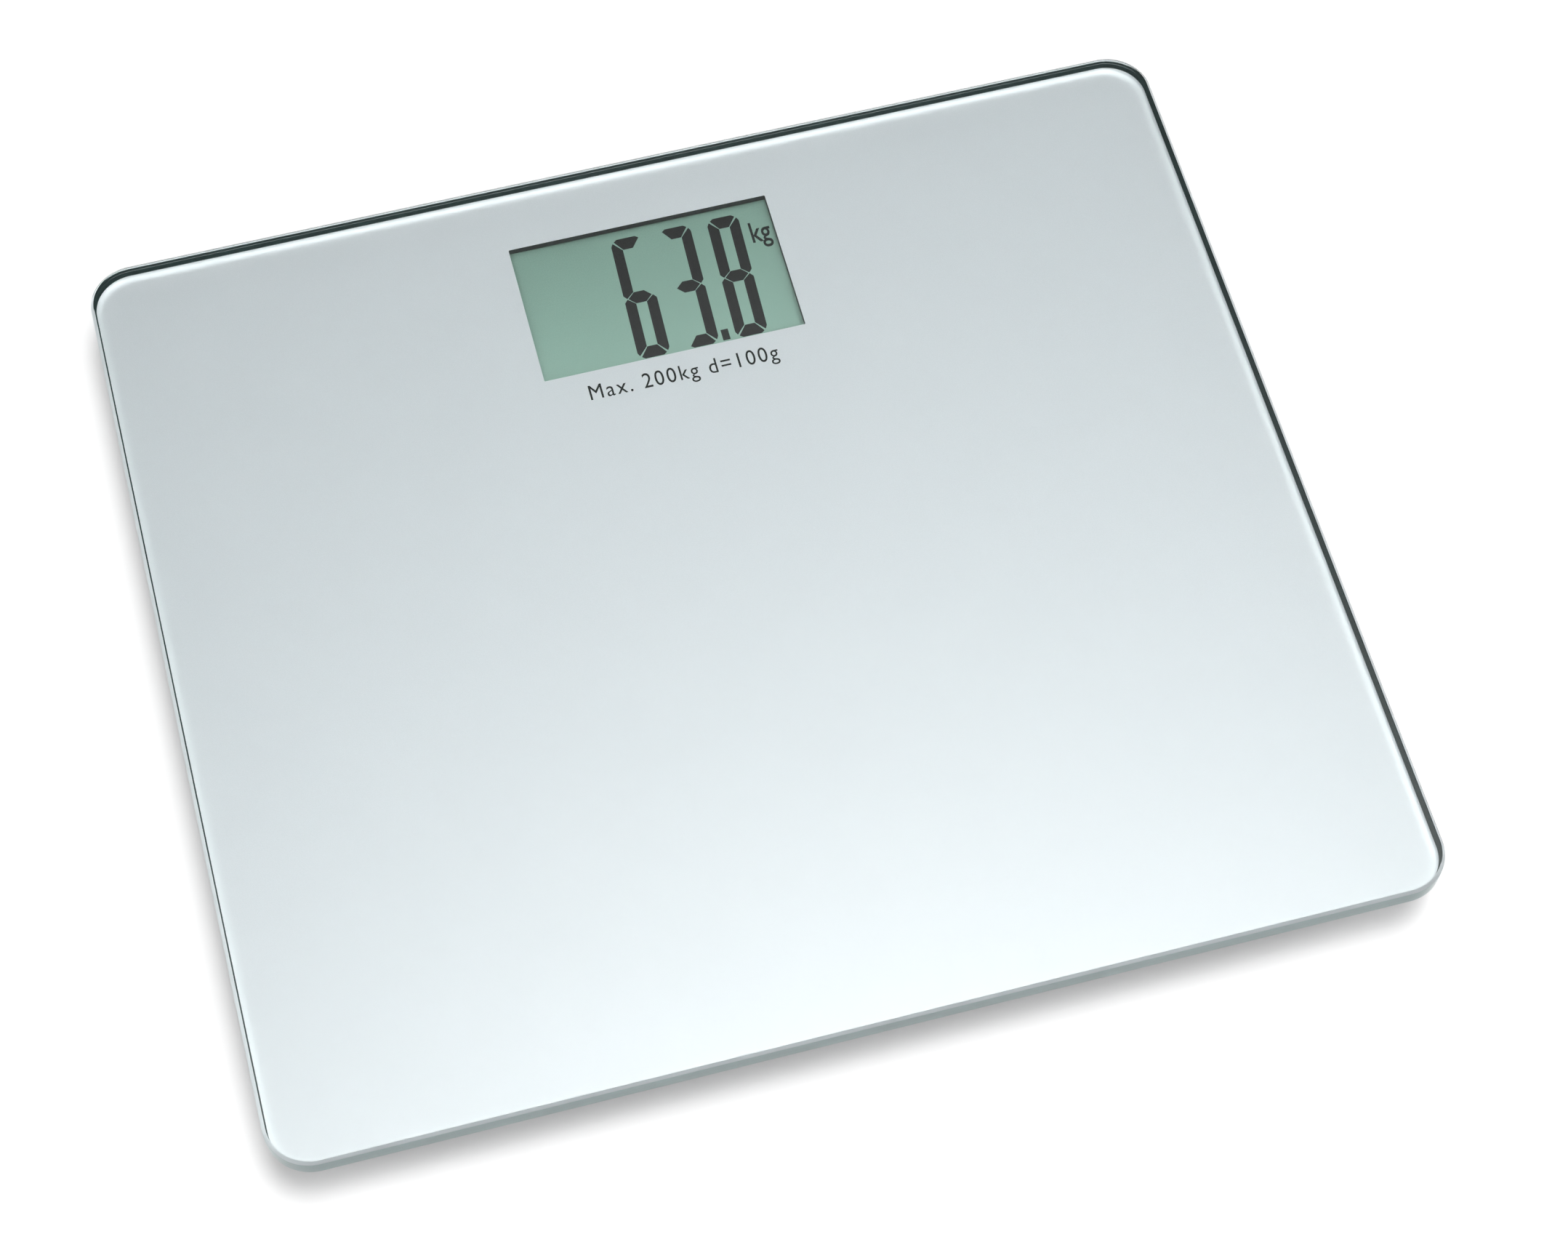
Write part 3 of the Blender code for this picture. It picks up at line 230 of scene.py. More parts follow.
floor_finish, tree, shader = new_finish("pale_floor", Roughness=0.9)
two_tone(tree, shader, grain(tree, 1.4), (0.90, 0.90, 0.90, 1), (0.92, 0.92, 0.92, 1))
clear = add_node(tree, "ShaderNodeBsdfTransparent")
seen_from = add_node(tree, "ShaderNodeNewGeometry").outputs["Backfacing"]
one_sided = add_node(tree, "ShaderNodeMixShader", {0: seen_from, 1: shader.outputs[0], 2: clear.outputs[0]})
tree.links.new(one_sided.outputs[0], tree.nodes["Material Output"].inputs["Surface"])

floor_mesh = bpy.data.meshes.new("floor")
corners = [(x * FLOOR_HALF, y * FLOOR_HALF, FLOOR_Z) for x, y in ((-1, -1), (1, -1), (1, 1), (-1, 1))]
floor_mesh.from_pydata(corners, [], [(0, 1, 2, 3)])
floor_mesh.materials.append(floor_finish)
floor = bpy.data.objects.new("floor", floor_mesh)
scene.collection.objects.link(floor)
print("floor", 2 * FLOOR_HALF, "m across")

# %% [markdown]
# ## Mesh helpers
# The glass, the display and its frame are stacks of rounded rectangles, joined wall
# to wall. A loft helper takes the stack and closes its ends, which keeps the piece
# watertight.


# %% Mesh helpers
def rounded_outline(half_x, half_y, radius, middle=(0.0, 0.0), steps=16):
    """Points of a rounded rectangle, counter-clockwise, seen from above."""
    points = []
    for corner, (sx, sy) in enumerate(((1, -1), (1, 1), (-1, 1), (-1, -1))):
        cx = middle[0] + sx * (half_x - radius)
        cy = middle[1] + sy * (half_y - radius)
        for step in range(steps + 1):
            angle = math.radians(-90 + 90 * corner + 90 * step / steps)
            points.append((cx + radius * math.cos(angle), cy + radius * math.sin(angle)))
    return points


def loft(bm, rings, close=True):
    """Joins rings of equal length, from the lowest to the highest. Returns their vertices."""
    loops = [[bm.verts.new(p) for p in ring] for ring in rings]
    for low, high in zip(loops, loops[1:]):
        for i, vertex in enumerate(low):
            after = (i + 1) % len(low)
            bm.faces.new((vertex, low[after], high[after], high[i]))
    if close:
        bm.faces.new(list(reversed(loops[0])))
        bm.faces.new(loops[-1])
    return loops


def piece_from(bm, name, finish, crease=30.0):
    """A new object from bm, with rounded parts smooth and edges above crease degrees sharp."""
    bmesh.ops.recalc_face_normals(bm, faces=bm.faces)
    mesh = bpy.data.meshes.new(name)
    bm.to_mesh(mesh)
    bm.free()
    mesh.materials.append(finish)
    mesh.polygons.foreach_set("use_smooth", [True] * len(mesh.polygons))
    mesh.set_sharp_from_angle(angle=math.radians(crease))
    piece = bpy.data.objects.new(name, mesh)
    scene.collection.objects.link(piece)
    return piece


def stands_for(piece, body, slot, *nodes):
    """Lets a finished piece ride on a body in place of CAD nodes."""
    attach(piece, body)
    if nodes:
        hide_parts(*nodes)
    print(piece.name, len(piece.data.polygons), "faces on", body)


def box_of(node):
    """A node's lowest and highest corner, as two lists in metres."""
    low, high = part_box(node)
    return list(low), list(high)


print("mesh helpers ready")

# %% [markdown]
# ## The glass plate
# Platform glass is float glass, cut, ground and then tempered. The long way through
# it looks green, because iron in the melt takes the red out, so the colour belongs
# in the volume, not on the surface. Its arrises are ground at 45 degrees. A real
# refracting shader gives the bright lines along the edges by itself. The lower arris
# is ground matt; it and the bare rim get an opaque dark green finish, painted shade
# for the shaded gap below the plate, which shows through the glass as a dark green
# strip. The edge face between the arrises gets a darker, greener tinted copy of the
# glass: painted shade.

# %% Glass finish
GLASS_IOR = 1.52
GLASS_TINT = (0.36, 0.80, 0.72, 1.0)
GLASS_DENSITY = 12.0
# Painted shade: the tint that makes the glass's edge faces darker and greener.
EDGE_SHADE_TINT = (0.50, 0.76, 0.72, 1.0)
RIPPLE_SIZE = 60 * MM
RIPPLE_DEPTH = 0.002 * MM
GLASS_CREASE = 12.0

glass_finish, tree, shader = new_finish(
    "float_glass", Base_Color=(1.0, 1.0, 1.0, 1.0), Roughness=0.0, IOR=GLASS_IOR
)
shader.inputs["Transmission Weight"].default_value = 1.0
feed(tree, bumped(tree, grain(tree, RIPPLE_SIZE, 1.0), RIPPLE_DEPTH), shader, "Normal")
depth_colour = add_node(tree, "ShaderNodeVolumeAbsorption", {"Color": GLASS_TINT, "Density": GLASS_DENSITY})
tree.links.new(depth_colour.outputs[0], tree.nodes["Material Output"].inputs["Volume"])

# The edge faces: a darker, greener tinted copy of the glass, painted shade.
edge_shade_finish = glass_finish.copy()
edge_shade_finish.name = "ground_edge"
edge_shade_finish.node_tree.nodes[shader.name].inputs["Base Color"].default_value = EDGE_SHADE_TINT

# The lower arris and bare rim: an opaque dark green finish, painted shade for the shaded gap below the
# plate.
shade_rim_finish, tree, shader = new_finish("ground_rim", Roughness=0.7, Specular_IOR_Level=0.2)
two_tone(tree, shader, grain(tree, 0.3 * MM), (0.030, 0.052, 0.052, 1), (0.046, 0.074, 0.074, 1))
print("glass: index", GLASS_IOR)

# %% Glass plate
GLASS_LOW, GLASS_HIGH = box_of("glass_platform")
GLASS_HALF_X = GLASS_HIGH[0]
GLASS_HALF_Y = GLASS_HIGH[1]
GLASS_UNDER = GLASS_LOW[2]
GLASS_TOP = GLASS_HIGH[2]
GLASS_CORNER = 16 * MM
ARRIS = 1.1 * MM
ARRIS_EASE = 0.12 * MM
COAT_INSET = 1.5 * MM


def glass_ring(inset, z):
    """The glass's outline, drawn in by inset, at height z."""
    outline = rounded_outline(
        GLASS_HALF_X - inset, GLASS_HALF_Y - inset, GLASS_CORNER - inset, steps=20
    )
    return [(x, y, z) for x, y in outline]


def eased_profile():
    """(inset, height) pairs up the glass's edge, with the arrises' corners just softened."""
    wide, narrow = ARRIS + ARRIS_EASE, 0.4 * ARRIS_EASE
    rising = [(wide, 0.0), (ARRIS - narrow, narrow), (narrow, ARRIS - narrow), (0.0, wide)]
    lower = [(inset, GLASS_UNDER + rise) for inset, rise in rising]
    upper = [(inset, GLASS_TOP - rise) for inset, rise in reversed(rising)]
    return [(COAT_INSET, GLASS_UNDER)] + lower + upper


bm = bmesh.new()
loft(bm, [glass_ring(inset, z) for inset, z in eased_profile()])
# Index 1 is the painted shade on the lower arris and rim, index 2 the painted shade tint on the edge faces.
for face in bm.faces:
    middle = face.calc_center_median()
    is_cap = len(face.verts) > 4
    on_rim = middle.z < GLASS_UNDER + ARRIS and not is_cap
    on_edge = GLASS_UNDER + ARRIS < middle.z < GLASS_TOP - ARRIS
    face.material_index = 1 if on_rim else 2 if on_edge else 0
glass_plate = piece_from(bm, "glass_plate", glass_finish, crease=GLASS_CREASE)
for finish in (shade_rim_finish, edge_shade_finish):
    glass_plate.data.materials.append(finish)
stands_for(glass_plate, "root", "clear_glass", "glass_platform")

# %% [markdown]
# ## The silver lacquer
# The lacquer is screen-printed on the underside, with no gap to the glass, and stops
# short of the edge. The piece therefore reaches a hair into the glass. Light that
# enters through the ground edge brightens a band of lacquer next to it, and that
# glow is painted into the lacquer's colour as a painted highlight: rings of vertices
# carry the distance from the edge, and the finish reads it.

# %% Lacquer finish
SILVER_LIT = (0.80, 0.80, 0.83, 1.0)
FLECK_DARK = (0.735, 0.73, 0.76, 1.0)
FLECK_PALE = (0.775, 0.765, 0.80, 1.0)
LIT_BAND_MM = 4.0
lacquer_finish, tree, shader = new_finish("silver_lacquer", Metallic=0.8, Roughness=0.48)
edge_distance = add_node(tree, "ShaderNodeAttribute", attribute_name="from_edge").outputs["Fac"]
# A painted highlight: the lacquer is painted lighter, towards SILVER_LIT, within LIT_BAND_MM of the glass's
# edge.
near_edge = rescale(tree, edge_distance, 0.0, LIT_BAND_MM, 1.0, 0.0, smooth=True)
flakes = grain(tree, 0.35 * MM, 2.0)
flecked = mix_colours(tree, rescale(tree, flakes, *GRAIN_RANGE, 0.0, 1.0), FLECK_DARK, FLECK_PALE)
two_tone(tree, shader, near_edge, flecked, SILVER_LIT)
feed(tree, rescale(tree, flakes, *GRAIN_RANGE, 0.44, 0.52), shader, "Roughness")

primer_finish, tree, shader = new_finish("grey_primer", Roughness=0.55)
two_tone(tree, shader, grain(tree, 9 * MM, 4.0), (0.42, 0.43, 0.44, 1), (0.50, 0.51, 0.52, 1))
feed(tree, bumped(tree, grain(tree, 0.4 * MM), 0.01 * MM), shader, "Normal")
print("lacquer and primer finishes")

# %% Lacquer coat
COAT_TOP = GLASS_UNDER + 0.02 * MM
COAT_UNDER = GLASS_UNDER - 0.10 * MM
EDGE_STEPS_MM = (0.0, 0.5, 1.0, 2.0, 3.0, 4.0, 5.0, 6.0, 9.0)
frame_low, frame_high = box_of("lcd_frame")
display_low, display_high = box_of("lcd_glass")
WINDOW_RIM = 5.0 * MM
WINDOW_HALF_X = (frame_high[0] - frame_low[0]) / 2 - WINDOW_RIM
WINDOW_HALF_Y = (frame_high[1] - frame_low[1]) / 2 - WINDOW_RIM
WINDOW_Y = (frame_high[1] + frame_low[1]) / 2
WINDOW_CORNER = 0.4 * MM


def window_ring(grow, z):
    """The display window's outline, grown by grow, at height z."""
    outline = rounded_outline(
        WINDOW_HALF_X + grow, WINDOW_HALF_Y + grow, WINDOW_CORNER + max(grow, 0.0),
        middle=(0.0, WINDOW_Y), steps=4,
    )
    return [(x, y, z) for x, y in outline]


def sheet_with_window(bm, z, steps):
    """A flat sheet with the glass's outline and the display window left open."""
    outer = None
    for step in steps:
        ring = [bm.verts.new(p) for p in glass_ring(COAT_INSET + step * MM, z)]
        if outer is not None:
            for i, vertex in enumerate(outer):
                after = (i + 1) % len(outer)
                bm.faces.new((vertex, outer[after], ring[after], ring[i]))
        outer = ring
    inner = [bm.verts.new(p) for p in window_ring(0.0, z)]
    edges = []
    for loop in (outer, inner):
        for i, vertex in enumerate(loop):
            after = loop[(i + 1) % len(loop)]
            edges.append(bm.edges.get((vertex, after)) or bm.edges.new((vertex, after)))
    bmesh.ops.triangle_fill(bm, use_beauty=True, edges=edges)


bm = bmesh.new()
sheet_with_window(bm, COAT_TOP, EDGE_STEPS_MM)
bmesh.ops.recalc_face_normals(bm, faces=bm.faces)
if bm.faces[0].normal.z < 0:
    bmesh.ops.reverse_faces(bm, faces=bm.faces)
grown = bmesh.ops.extrude_face_region(bm, geom=list(bm.faces), use_keep_orig=True)
for part in grown["geom"]:
    if isinstance(part, bmesh.types.BMVert):
        part.co.z = COAT_UNDER
bmesh.ops.recalc_face_normals(bm, faces=bm.faces)
distance = bm.verts.layers.float.new("from_edge")
for vertex in bm.verts:
    reach_x = abs(vertex.co.x) - (GLASS_HALF_X - GLASS_CORNER)
    reach_y = abs(vertex.co.y) - (GLASS_HALF_Y - GLASS_CORNER)
    past = math.hypot(max(reach_x, 0.0), max(reach_y, 0.0)) + min(max(reach_x, reach_y), 0.0)
    vertex[distance] = (GLASS_CORNER - past - COAT_INSET) / MM
for face in bm.faces:
    face.material_index = 1 if face.normal.z < -0.5 else 0
lacquer_coat = piece_from(bm, "lacquer_coat", lacquer_finish)
lacquer_coat.data.materials.append(primer_finish)
stands_for(lacquer_coat, "root", "silver_lacquer", "silver_backing")

# %% [markdown]
# ## Display recess and glass
# Under the window a black frame keeps the display a few millimetres away from the
# lacquer, so its walls show at the far sides. The display itself is two sheets of
# glass and a polariser: green-grey, with painted shade that makes it a little darker
# towards the back and lighter towards the reader.

# %% Black plastic finish
def black_plastic(name, spark=0.22 * MM, colour=(0.020, 0.021, 0.023, 1.0), rough=(0.42, 0.58)):
    """Moulded plastic with the fine pits of a spark-eroded mould."""
    material, tree, shader = new_finish(name, Base_Color=colour, IOR=1.53)
    pits = grain(tree, spark, 4.0)
    light = tuple(1.5 * c for c in colour[:3]) + (1.0,)
    two_tone(tree, shader, grain(tree, 14 * MM, 2.0), colour, light)
    feed(tree, rescale(tree, pits, *GRAIN_RANGE, *rough), shader, "Roughness")
    feed(tree, bumped(tree, pits, 0.03 * MM, 0.7), shader, "Normal")
    return material


frame_finish = black_plastic("frame_black", colour=(0.006, 0.006, 0.007, 1.0))
print("black plastic finish")

# %% Recess frame
RECESS_UNDER = display_high[2] + 0.05 * MM
RECESS_EASE = 0.25 * MM
OPENING_CORNER = WINDOW_CORNER + 0.02 * MM
outer_half_x = WINDOW_HALF_X + WINDOW_RIM
outer_half_y = WINDOW_HALF_Y + WINDOW_RIM


def recess_ring(half_x, half_y, z, corner=1.2 * MM):
    """One outline of the recess frame."""
    outline = rounded_outline(half_x, half_y, corner, middle=(0.0, WINDOW_Y), steps=4)
    return [(x, y, z) for x, y in outline]


ease = RECESS_EASE
opening_x = WINDOW_HALF_X + 0.02 * MM
opening_y = WINDOW_HALF_Y + 0.02 * MM
walls = [
    recess_ring(opening_x + ease, opening_y + ease, RECESS_UNDER, 0.6 * MM),
    recess_ring(outer_half_x - ease, outer_half_y - ease, RECESS_UNDER),
    recess_ring(outer_half_x, outer_half_y, RECESS_UNDER + ease),
    recess_ring(outer_half_x, outer_half_y, COAT_UNDER - ease),
    recess_ring(outer_half_x - ease, outer_half_y - ease, COAT_UNDER),
    recess_ring(opening_x, opening_y, COAT_UNDER, OPENING_CORNER),
    recess_ring(opening_x, opening_y, RECESS_UNDER + ease, OPENING_CORNER),
]
bm = bmesh.new()
loops = loft(bm, walls, close=False)
first, last = loops[0], loops[-1]
for i, vertex in enumerate(last):
    after = (i + 1) % len(last)
    bm.faces.new((vertex, last[after], first[after], first[i]))
recess_frame = piece_from(bm, "recess_frame", frame_finish)
stands_for(recess_frame, "root", "black_abs", "lcd_frame")

# %% Display finish
LCD_NEAR_LIT = (0.345, 0.520, 0.440, 1.0)
LCD_FAR_SHADED = (0.240, 0.375, 0.310, 1.0)
LCD_SPECK = (0.6, 0.75, 0.68, 1.0)
lcd_finish, tree, shader = new_finish("display_green", Roughness=0.5, Specular_IOR_Level=0.2)
# Painted shade: the display's green is darker towards the back of the window and lighter towards the reader.
along_y = add_node(tree, "ShaderNodeSeparateXYZ", {0: object_place(tree)}).outputs["Y"]
shade_fade = rescale(tree, along_y, WINDOW_Y - WINDOW_HALF_Y, WINDOW_Y + WINDOW_HALF_Y, 0.0, 1.0)
base = mix_colours(tree, shade_fade, LCD_NEAR_LIT, LCD_FAR_SHADED)
speck = rescale(tree, grain(tree, 0.5 * MM, 3.0), 0.35, 0.65, 0.0, 0.08)
two_tone(tree, shader, speck, base, LCD_SPECK)
print("display finish")

# %% Display glass
DISPLAY_EASE = 0.15 * MM
DISPLAY_CORNER = 0.5 * MM
display_half_x = (display_high[0] - display_low[0]) / 2
display_half_y = (display_high[1] - display_low[1]) / 2
display_rings = []
for inset, z in (
    (DISPLAY_EASE, display_low[2]), (0.0, display_low[2] + DISPLAY_EASE),
    (0.0, display_high[2] - DISPLAY_EASE), (DISPLAY_EASE, display_high[2]),
):
    outline = rounded_outline(
        display_half_x - inset, display_half_y - inset, DISPLAY_CORNER, middle=(0.0, WINDOW_Y), steps=3
    )
    display_rings.append([(x, y, z) for x, y in outline])
bm = bmesh.new()
loft(bm, display_rings)
display_glass = piece_from(bm, "display_glass", lcd_finish)
stands_for(display_glass, "root", "lcd_green", "lcd_glass")

# %% [markdown]
# ## The figures
# A seven-segment figure is seven cut bars with hairline gaps between them. Each bar
# is a polygon on a grid of named lines, so all figures come from one table, and a
# shear gives the slight lean. The outer corners are cut off in two facets. Only the
# top, upper left and middle bars are drawn: the others are their mirror images.

# %% Segment shapes
FIGURE_WIDTH = 11.9
FIGURE_HEIGHT = 52.7
BAR_ACROSS = 4.9
BAR_UP = 3.95
HAIRLINE = 0.30
CORNER_CUT = 1.3
LEAN = math.tan(math.radians(2.0))
FIGURE_BASE_Y = 95.25
FIGURE_LEFT_X = {"6": -12.2, "3": 6.0, "8": 24.2}
SEGMENTS_ON = {"6": "acdefg", "3": "abcdg", "8": "abcdefg"}
POINT_LOW, POINT_HIGH = (18.4, 95.6), (21.1, 100.2)
INK_TOP = display_high[2] + 0.03 * MM
INK_UNDER = display_high[2] - 0.02 * MM

ink_finish, tree, shader = new_finish("display_ink", Roughness=0.8, Specular_IOR_Level=0.1)
two_tone(tree, shader, grain(tree, 3 * MM, 2.0), (0.0085, 0.0082, 0.0085, 1), (0.0115, 0.0108, 0.0112, 1))


def bar_outlines():
    """Each segment's corner points, in mm from the figure's lower left corner."""
    w, h, t, s = FIGURE_WIDTH, FIGURE_HEIGHT, BAR_ACROSS, BAR_UP
    middle, gap, nick, half = h / 2, HAIRLINE / 2, CORNER_CUT, t / 2
    above = middle + gap
    top = [(nick, h - 0.9), (nick + 1.2, h), (w - nick - 1.2, h), (w - nick, h - 0.9),
           (w - s - 0.2, h - t), (s + 0.2, h - t)]
    upper_left = [(nick - gap - 0.4, h - nick - gap), (0.0, h - 2.9), (0.0, middle + 1.6),
                  (1.2, above), (s, above + half), (s, h - t - gap)]
    centre = [(1.6, middle), (s + 0.1, middle + half), (w - s - 0.1, middle + half),
              (w - 1.6, middle), (w - s - 0.1, middle - half), (s + 0.1, middle - half)]
    upper_right = [(w - x, y) for x, y in upper_left]
    shapes = {"a": top, "f": upper_left, "b": upper_right, "g": centre}
    for below, drawn in (("d", "a"), ("e", "f"), ("c", "b")):
        shapes[below] = [(x, h - y) for x, y in shapes[drawn]]
    return shapes


def ink_prism(bm, outline):
    """A thin black prism with that outline, in mm on the display."""
    lower = [(x * MM, y * MM, INK_UNDER) for x, y in outline]
    upper = [(x * MM, y * MM, INK_TOP) for x, y in outline]
    loft(bm, [lower, upper])


shapes = bar_outlines()
print(len(shapes), "segment shapes")

# %% Figures on the display
bm = bmesh.new()
for figure, left in FIGURE_LEFT_X.items():
    for letter in SEGMENTS_ON[figure]:
        leant = [
            (left + x + LEAN * (y - FIGURE_HEIGHT / 2), FIGURE_BASE_Y + y) for x, y in shapes[letter]
        ]
        ink_prism(bm, leant)
(low_x, low_y), (high_x, high_y) = POINT_LOW, POINT_HIGH
ink_prism(bm, [(low_x, low_y), (high_x, low_y), (high_x, high_y), (low_x, high_y)])
display_figures = piece_from(bm, "display_figures", ink_finish)
stands_for(display_figures, "root", "lcd_green")

# %% [markdown]
# ## Lettering
# The unit sign on the display and the capacity line printed on the glass are plain
# words in Blender's own font. A text object is turned into a mesh first, and only
# then moved, so that the finished piece sits at the origin.


# %% Lettering
def lettering(name, words, finish, start, size, layer, spacing=1.0, bold=0.01):
    """Words as a thin mesh: start and size in mm, layer as its lowest and highest z in metres."""
    text = bpy.data.curves.new(name, "FONT")
    text.body = words
    text.space_character = spacing
    text.resolution_u = 6
    text.extrude = 0.5
    text.offset = bold
    holder = bpy.data.objects.new(name + "_text", text)
    scene.collection.objects.link(holder)
    bpy.context.view_layer.update()
    graph = bpy.context.evaluated_depsgraph_get()
    mesh = bpy.data.meshes.new_from_object(holder.evaluated_get(graph))
    bpy.data.objects.remove(holder)
    bpy.data.curves.remove(text)
    first = min(v.co.x for v in mesh.vertices)
    last = max(v.co.x for v in mesh.vertices)
    tall = max(v.co.y for v in mesh.vertices)
    for vertex in mesh.vertices:
        x = (vertex.co.x - first) / (last - first) * size[0]
        y = vertex.co.y / tall * size[1]
        z = layer[1] if vertex.co.z > 0 else layer[0]
        vertex.co = ((start[0] + x) * MM, (start[1] + y) * MM, z)
    mesh.materials.clear()
    bm = bmesh.new()
    bm.from_mesh(mesh)
    bpy.data.meshes.remove(mesh)
    bmesh.ops.remove_doubles(bm, verts=bm.verts, dist=1e-7)
    return piece_from(bm, name, finish)


unit_sign = lettering(
    "unit_sign", "kg", ink_finish, start=(39.6, 134.0), size=(7.4, 8.8), layer=(INK_UNDER, INK_TOP)
)
stands_for(unit_sign, "root", "lcd_green")

print_finish, tree, shader = new_finish("print_black", Roughness=0.8, Specular_IOR_Level=0.1)
two_tone(tree, shader, grain(tree, 0.6 * MM), (0.006, 0.006, 0.006, 1), (0.012, 0.012, 0.012, 1))
capacity_line = lettering(
    "capacity_line", "Max. 200kg d=100g", print_finish, start=(-34.0, 81.2), size=(69.7, 6.2),
    layer=(COAT_TOP - 0.01 * MM, COAT_TOP + 0.02 * MM), spacing=1.18, bold=0.0,
)
stands_for(capacity_line, "root", "silver_lacquer")

# %% [markdown]
# ## Moulded parts below the glass
# The feet, the housing and its cover are injection mouldings, and their shapes are
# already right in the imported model. What a moulding has and a plain solid lacks is
# a small round on every edge. The helper copies the node's mesh, merges its flat
# triangles and rounds whatever is sharper than a set angle.


# %% Eased copies
SHARP_ANGLE = math.radians(38)
FLAT_ANGLE = math.radians(1)
WELD_DISTANCE = 0.001 * MM
TOP_BAND = 0.05 * MM


def eased_copy(node, name, finish, ease, segments=2, top=None, merge_flats=True):
    """A finer copy of a CAD node with rounded edges. top moves its upper face to that height.

    merge_flats joins the triangles of a flat face before the edges are rounded. A flat
    with posts standing on it has to stay in triangles, or its refilled face tears.
    """
    bm = bmesh.new()
    bm.from_mesh(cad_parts[node].data)
    bmesh.ops.remove_doubles(bm, verts=bm.verts, dist=WELD_DISTANCE)
    if merge_flats:
        bmesh.ops.dissolve_limit(bm, angle_limit=FLAT_ANGLE, verts=bm.verts, edges=bm.edges)
    if top is not None:
        highest = max(v.co.z for v in bm.verts)
        for vertex in bm.verts:
            if vertex.co.z > highest - TOP_BAND:
                vertex.co.z = top
    sharp = [e for e in bm.edges if e.is_manifold and e.calc_face_angle() > SHARP_ANGLE]
    bmesh.ops.bevel(
        bm, geom=sharp, offset=ease, offset_type="OFFSET", segments=segments,
        profile=0.5, affect="EDGES", clamp_overlap=True,
    )
    bmesh.ops.triangulate(bm, faces=[f for f in bm.faces if len(f.verts) > 4])
    return piece_from(bm, name, finish, crease=25.0)


CORNERS = ("front_left", "front_right", "back_left", "back_right")
housing_black = black_plastic("housing_black")
foot_black = black_plastic("foot_black", colour=(0.024, 0.024, 0.026, 1.0), rough=(0.38, 0.5))
MOULDED = [
    ("display_housing", "housing_shell", "root", housing_black, 0.35),
    ("housing_cover", "cover_plate", "root", housing_black, 0.18),
    ("battery_door", "door_panel", "battery_door", housing_black, 0.12),
]
for corner in CORNERS:
    MOULDED.append((f"foot_bracket_{corner}", f"foot_cup_{corner}", "root", foot_black, 0.30))
    MOULDED.append((f"foot_cap_{corner}", f"foot_shell_{corner}", f"foot_{corner}", foot_black, 0.20))
for clip in [f"{corner}_{number}" for corner in CORNERS for number in (1, 2)]:
    MOULDED.append((f"lead_clip_{clip}", f"lead_keeper_{clip}", "root", foot_black, 0.15))
for node, name, body, finish, ease in MOULDED:
    moulded = eased_copy(node, name, finish, ease * MM, merge_flats=node != "battery_door")
    stands_for(moulded, body, "black_abs", node)

# %% [markdown]
# ## Foam tape
# The feet and the housing are stuck to the lacquer with thick foam tape. Foam has
# a skin of closed cells, so its finish is a fine cell pattern in the bump.

# %% Foam tape
foam_finish, tree, shader = new_finish("foam_white", Roughness=0.85)
cell_pattern = {"Vector": object_place(tree), "Scale": 1 / (0.35 * MM)}
cells = add_node(tree, "ShaderNodeTexVoronoi", cell_pattern).outputs["Distance"]
two_tone(tree, shader, cells, (0.74, 0.74, 0.71, 1), (0.58, 0.58, 0.55, 1))
feed(tree, bumped(tree, cells, 0.06 * MM), shader, "Normal")
FOAMED = [("housing_tape", "housing_foam")]
FOAMED += [(f"foot_tape_{corner}", f"foot_foam_{corner}") for corner in CORNERS]
for node, name in FOAMED:
    foam = eased_copy(node, name, foam_finish, 0.1 * MM, top=COAT_UNDER)
    stands_for(foam, "root", "foam_tape", node)

# %% [markdown]
# ## Metal parts
# Spring steel is ground in one direction, a coin cell's can is polished with a fine
# turned grain, and zinc screws are dull. The three differ mostly in how rough they
# are and in which way their scratches run.


# %% Metal finishes
def scratched_metal(name, colour, rough, stretch, depth=0.004 * MM):
    """A metal with scratches drawn out along one direction."""
    material, tree, shader = new_finish(name, Metallic=1.0)
    lines = grain(tree, 0.25 * MM, 3.0, stretch)
    dim = tuple(0.82 * c for c in colour) + (1.0,)
    two_tone(tree, shader, grain(tree, 6 * MM, 2.0), dim, colour + (1.0,))
    feed(tree, rescale(tree, lines, *GRAIN_RANGE, rough - 0.07, rough + 0.10), shader, "Roughness")
    feed(tree, bumped(tree, lines, depth), shader, "Normal")
    return material


cell_steel = scratched_metal("cell_steel", (0.60, 0.61, 0.62), 0.30, (0.06, 1.0, 1.0))
coin_nickel = scratched_metal("coin_nickel", (0.66, 0.66, 0.65), 0.20, (0.15, 1.0, 1.0))
screw_zinc = scratched_metal("screw_zinc", (0.52, 0.53, 0.55), 0.34, (1.0, 1.0, 1.0))
spring_brass = scratched_metal("spring_brass", (0.70, 0.55, 0.28), 0.28, (1.0, 0.1, 1.0))

for corner in CORNERS:
    cell = eased_copy(f"load_cell_{corner}", f"cell_plate_{corner}", cell_steel, 0.2 * MM)
    stands_for(cell, "root", "cell_steel", f"load_cell_{corner}")
for node, name, finish, slot in (
    ("coin_cell", "coin_can", coin_nickel, "coin_nickel"),
    ("contact_minus", "contact_leaf_minus", spring_brass, "spring_brass"),
    ("contact_plus", "contact_leaf_plus", spring_brass, "spring_brass"),
):
    stands_for(eased_copy(node, name, finish, 0.12 * MM), "root", slot, node)

# %% [markdown]
# ## Electronics
# The board, the button's switch, the potted chip and the striped rubber strip that
# feeds the display can only be seen with the housing open, so they stay as packed
# and get their own finishes.

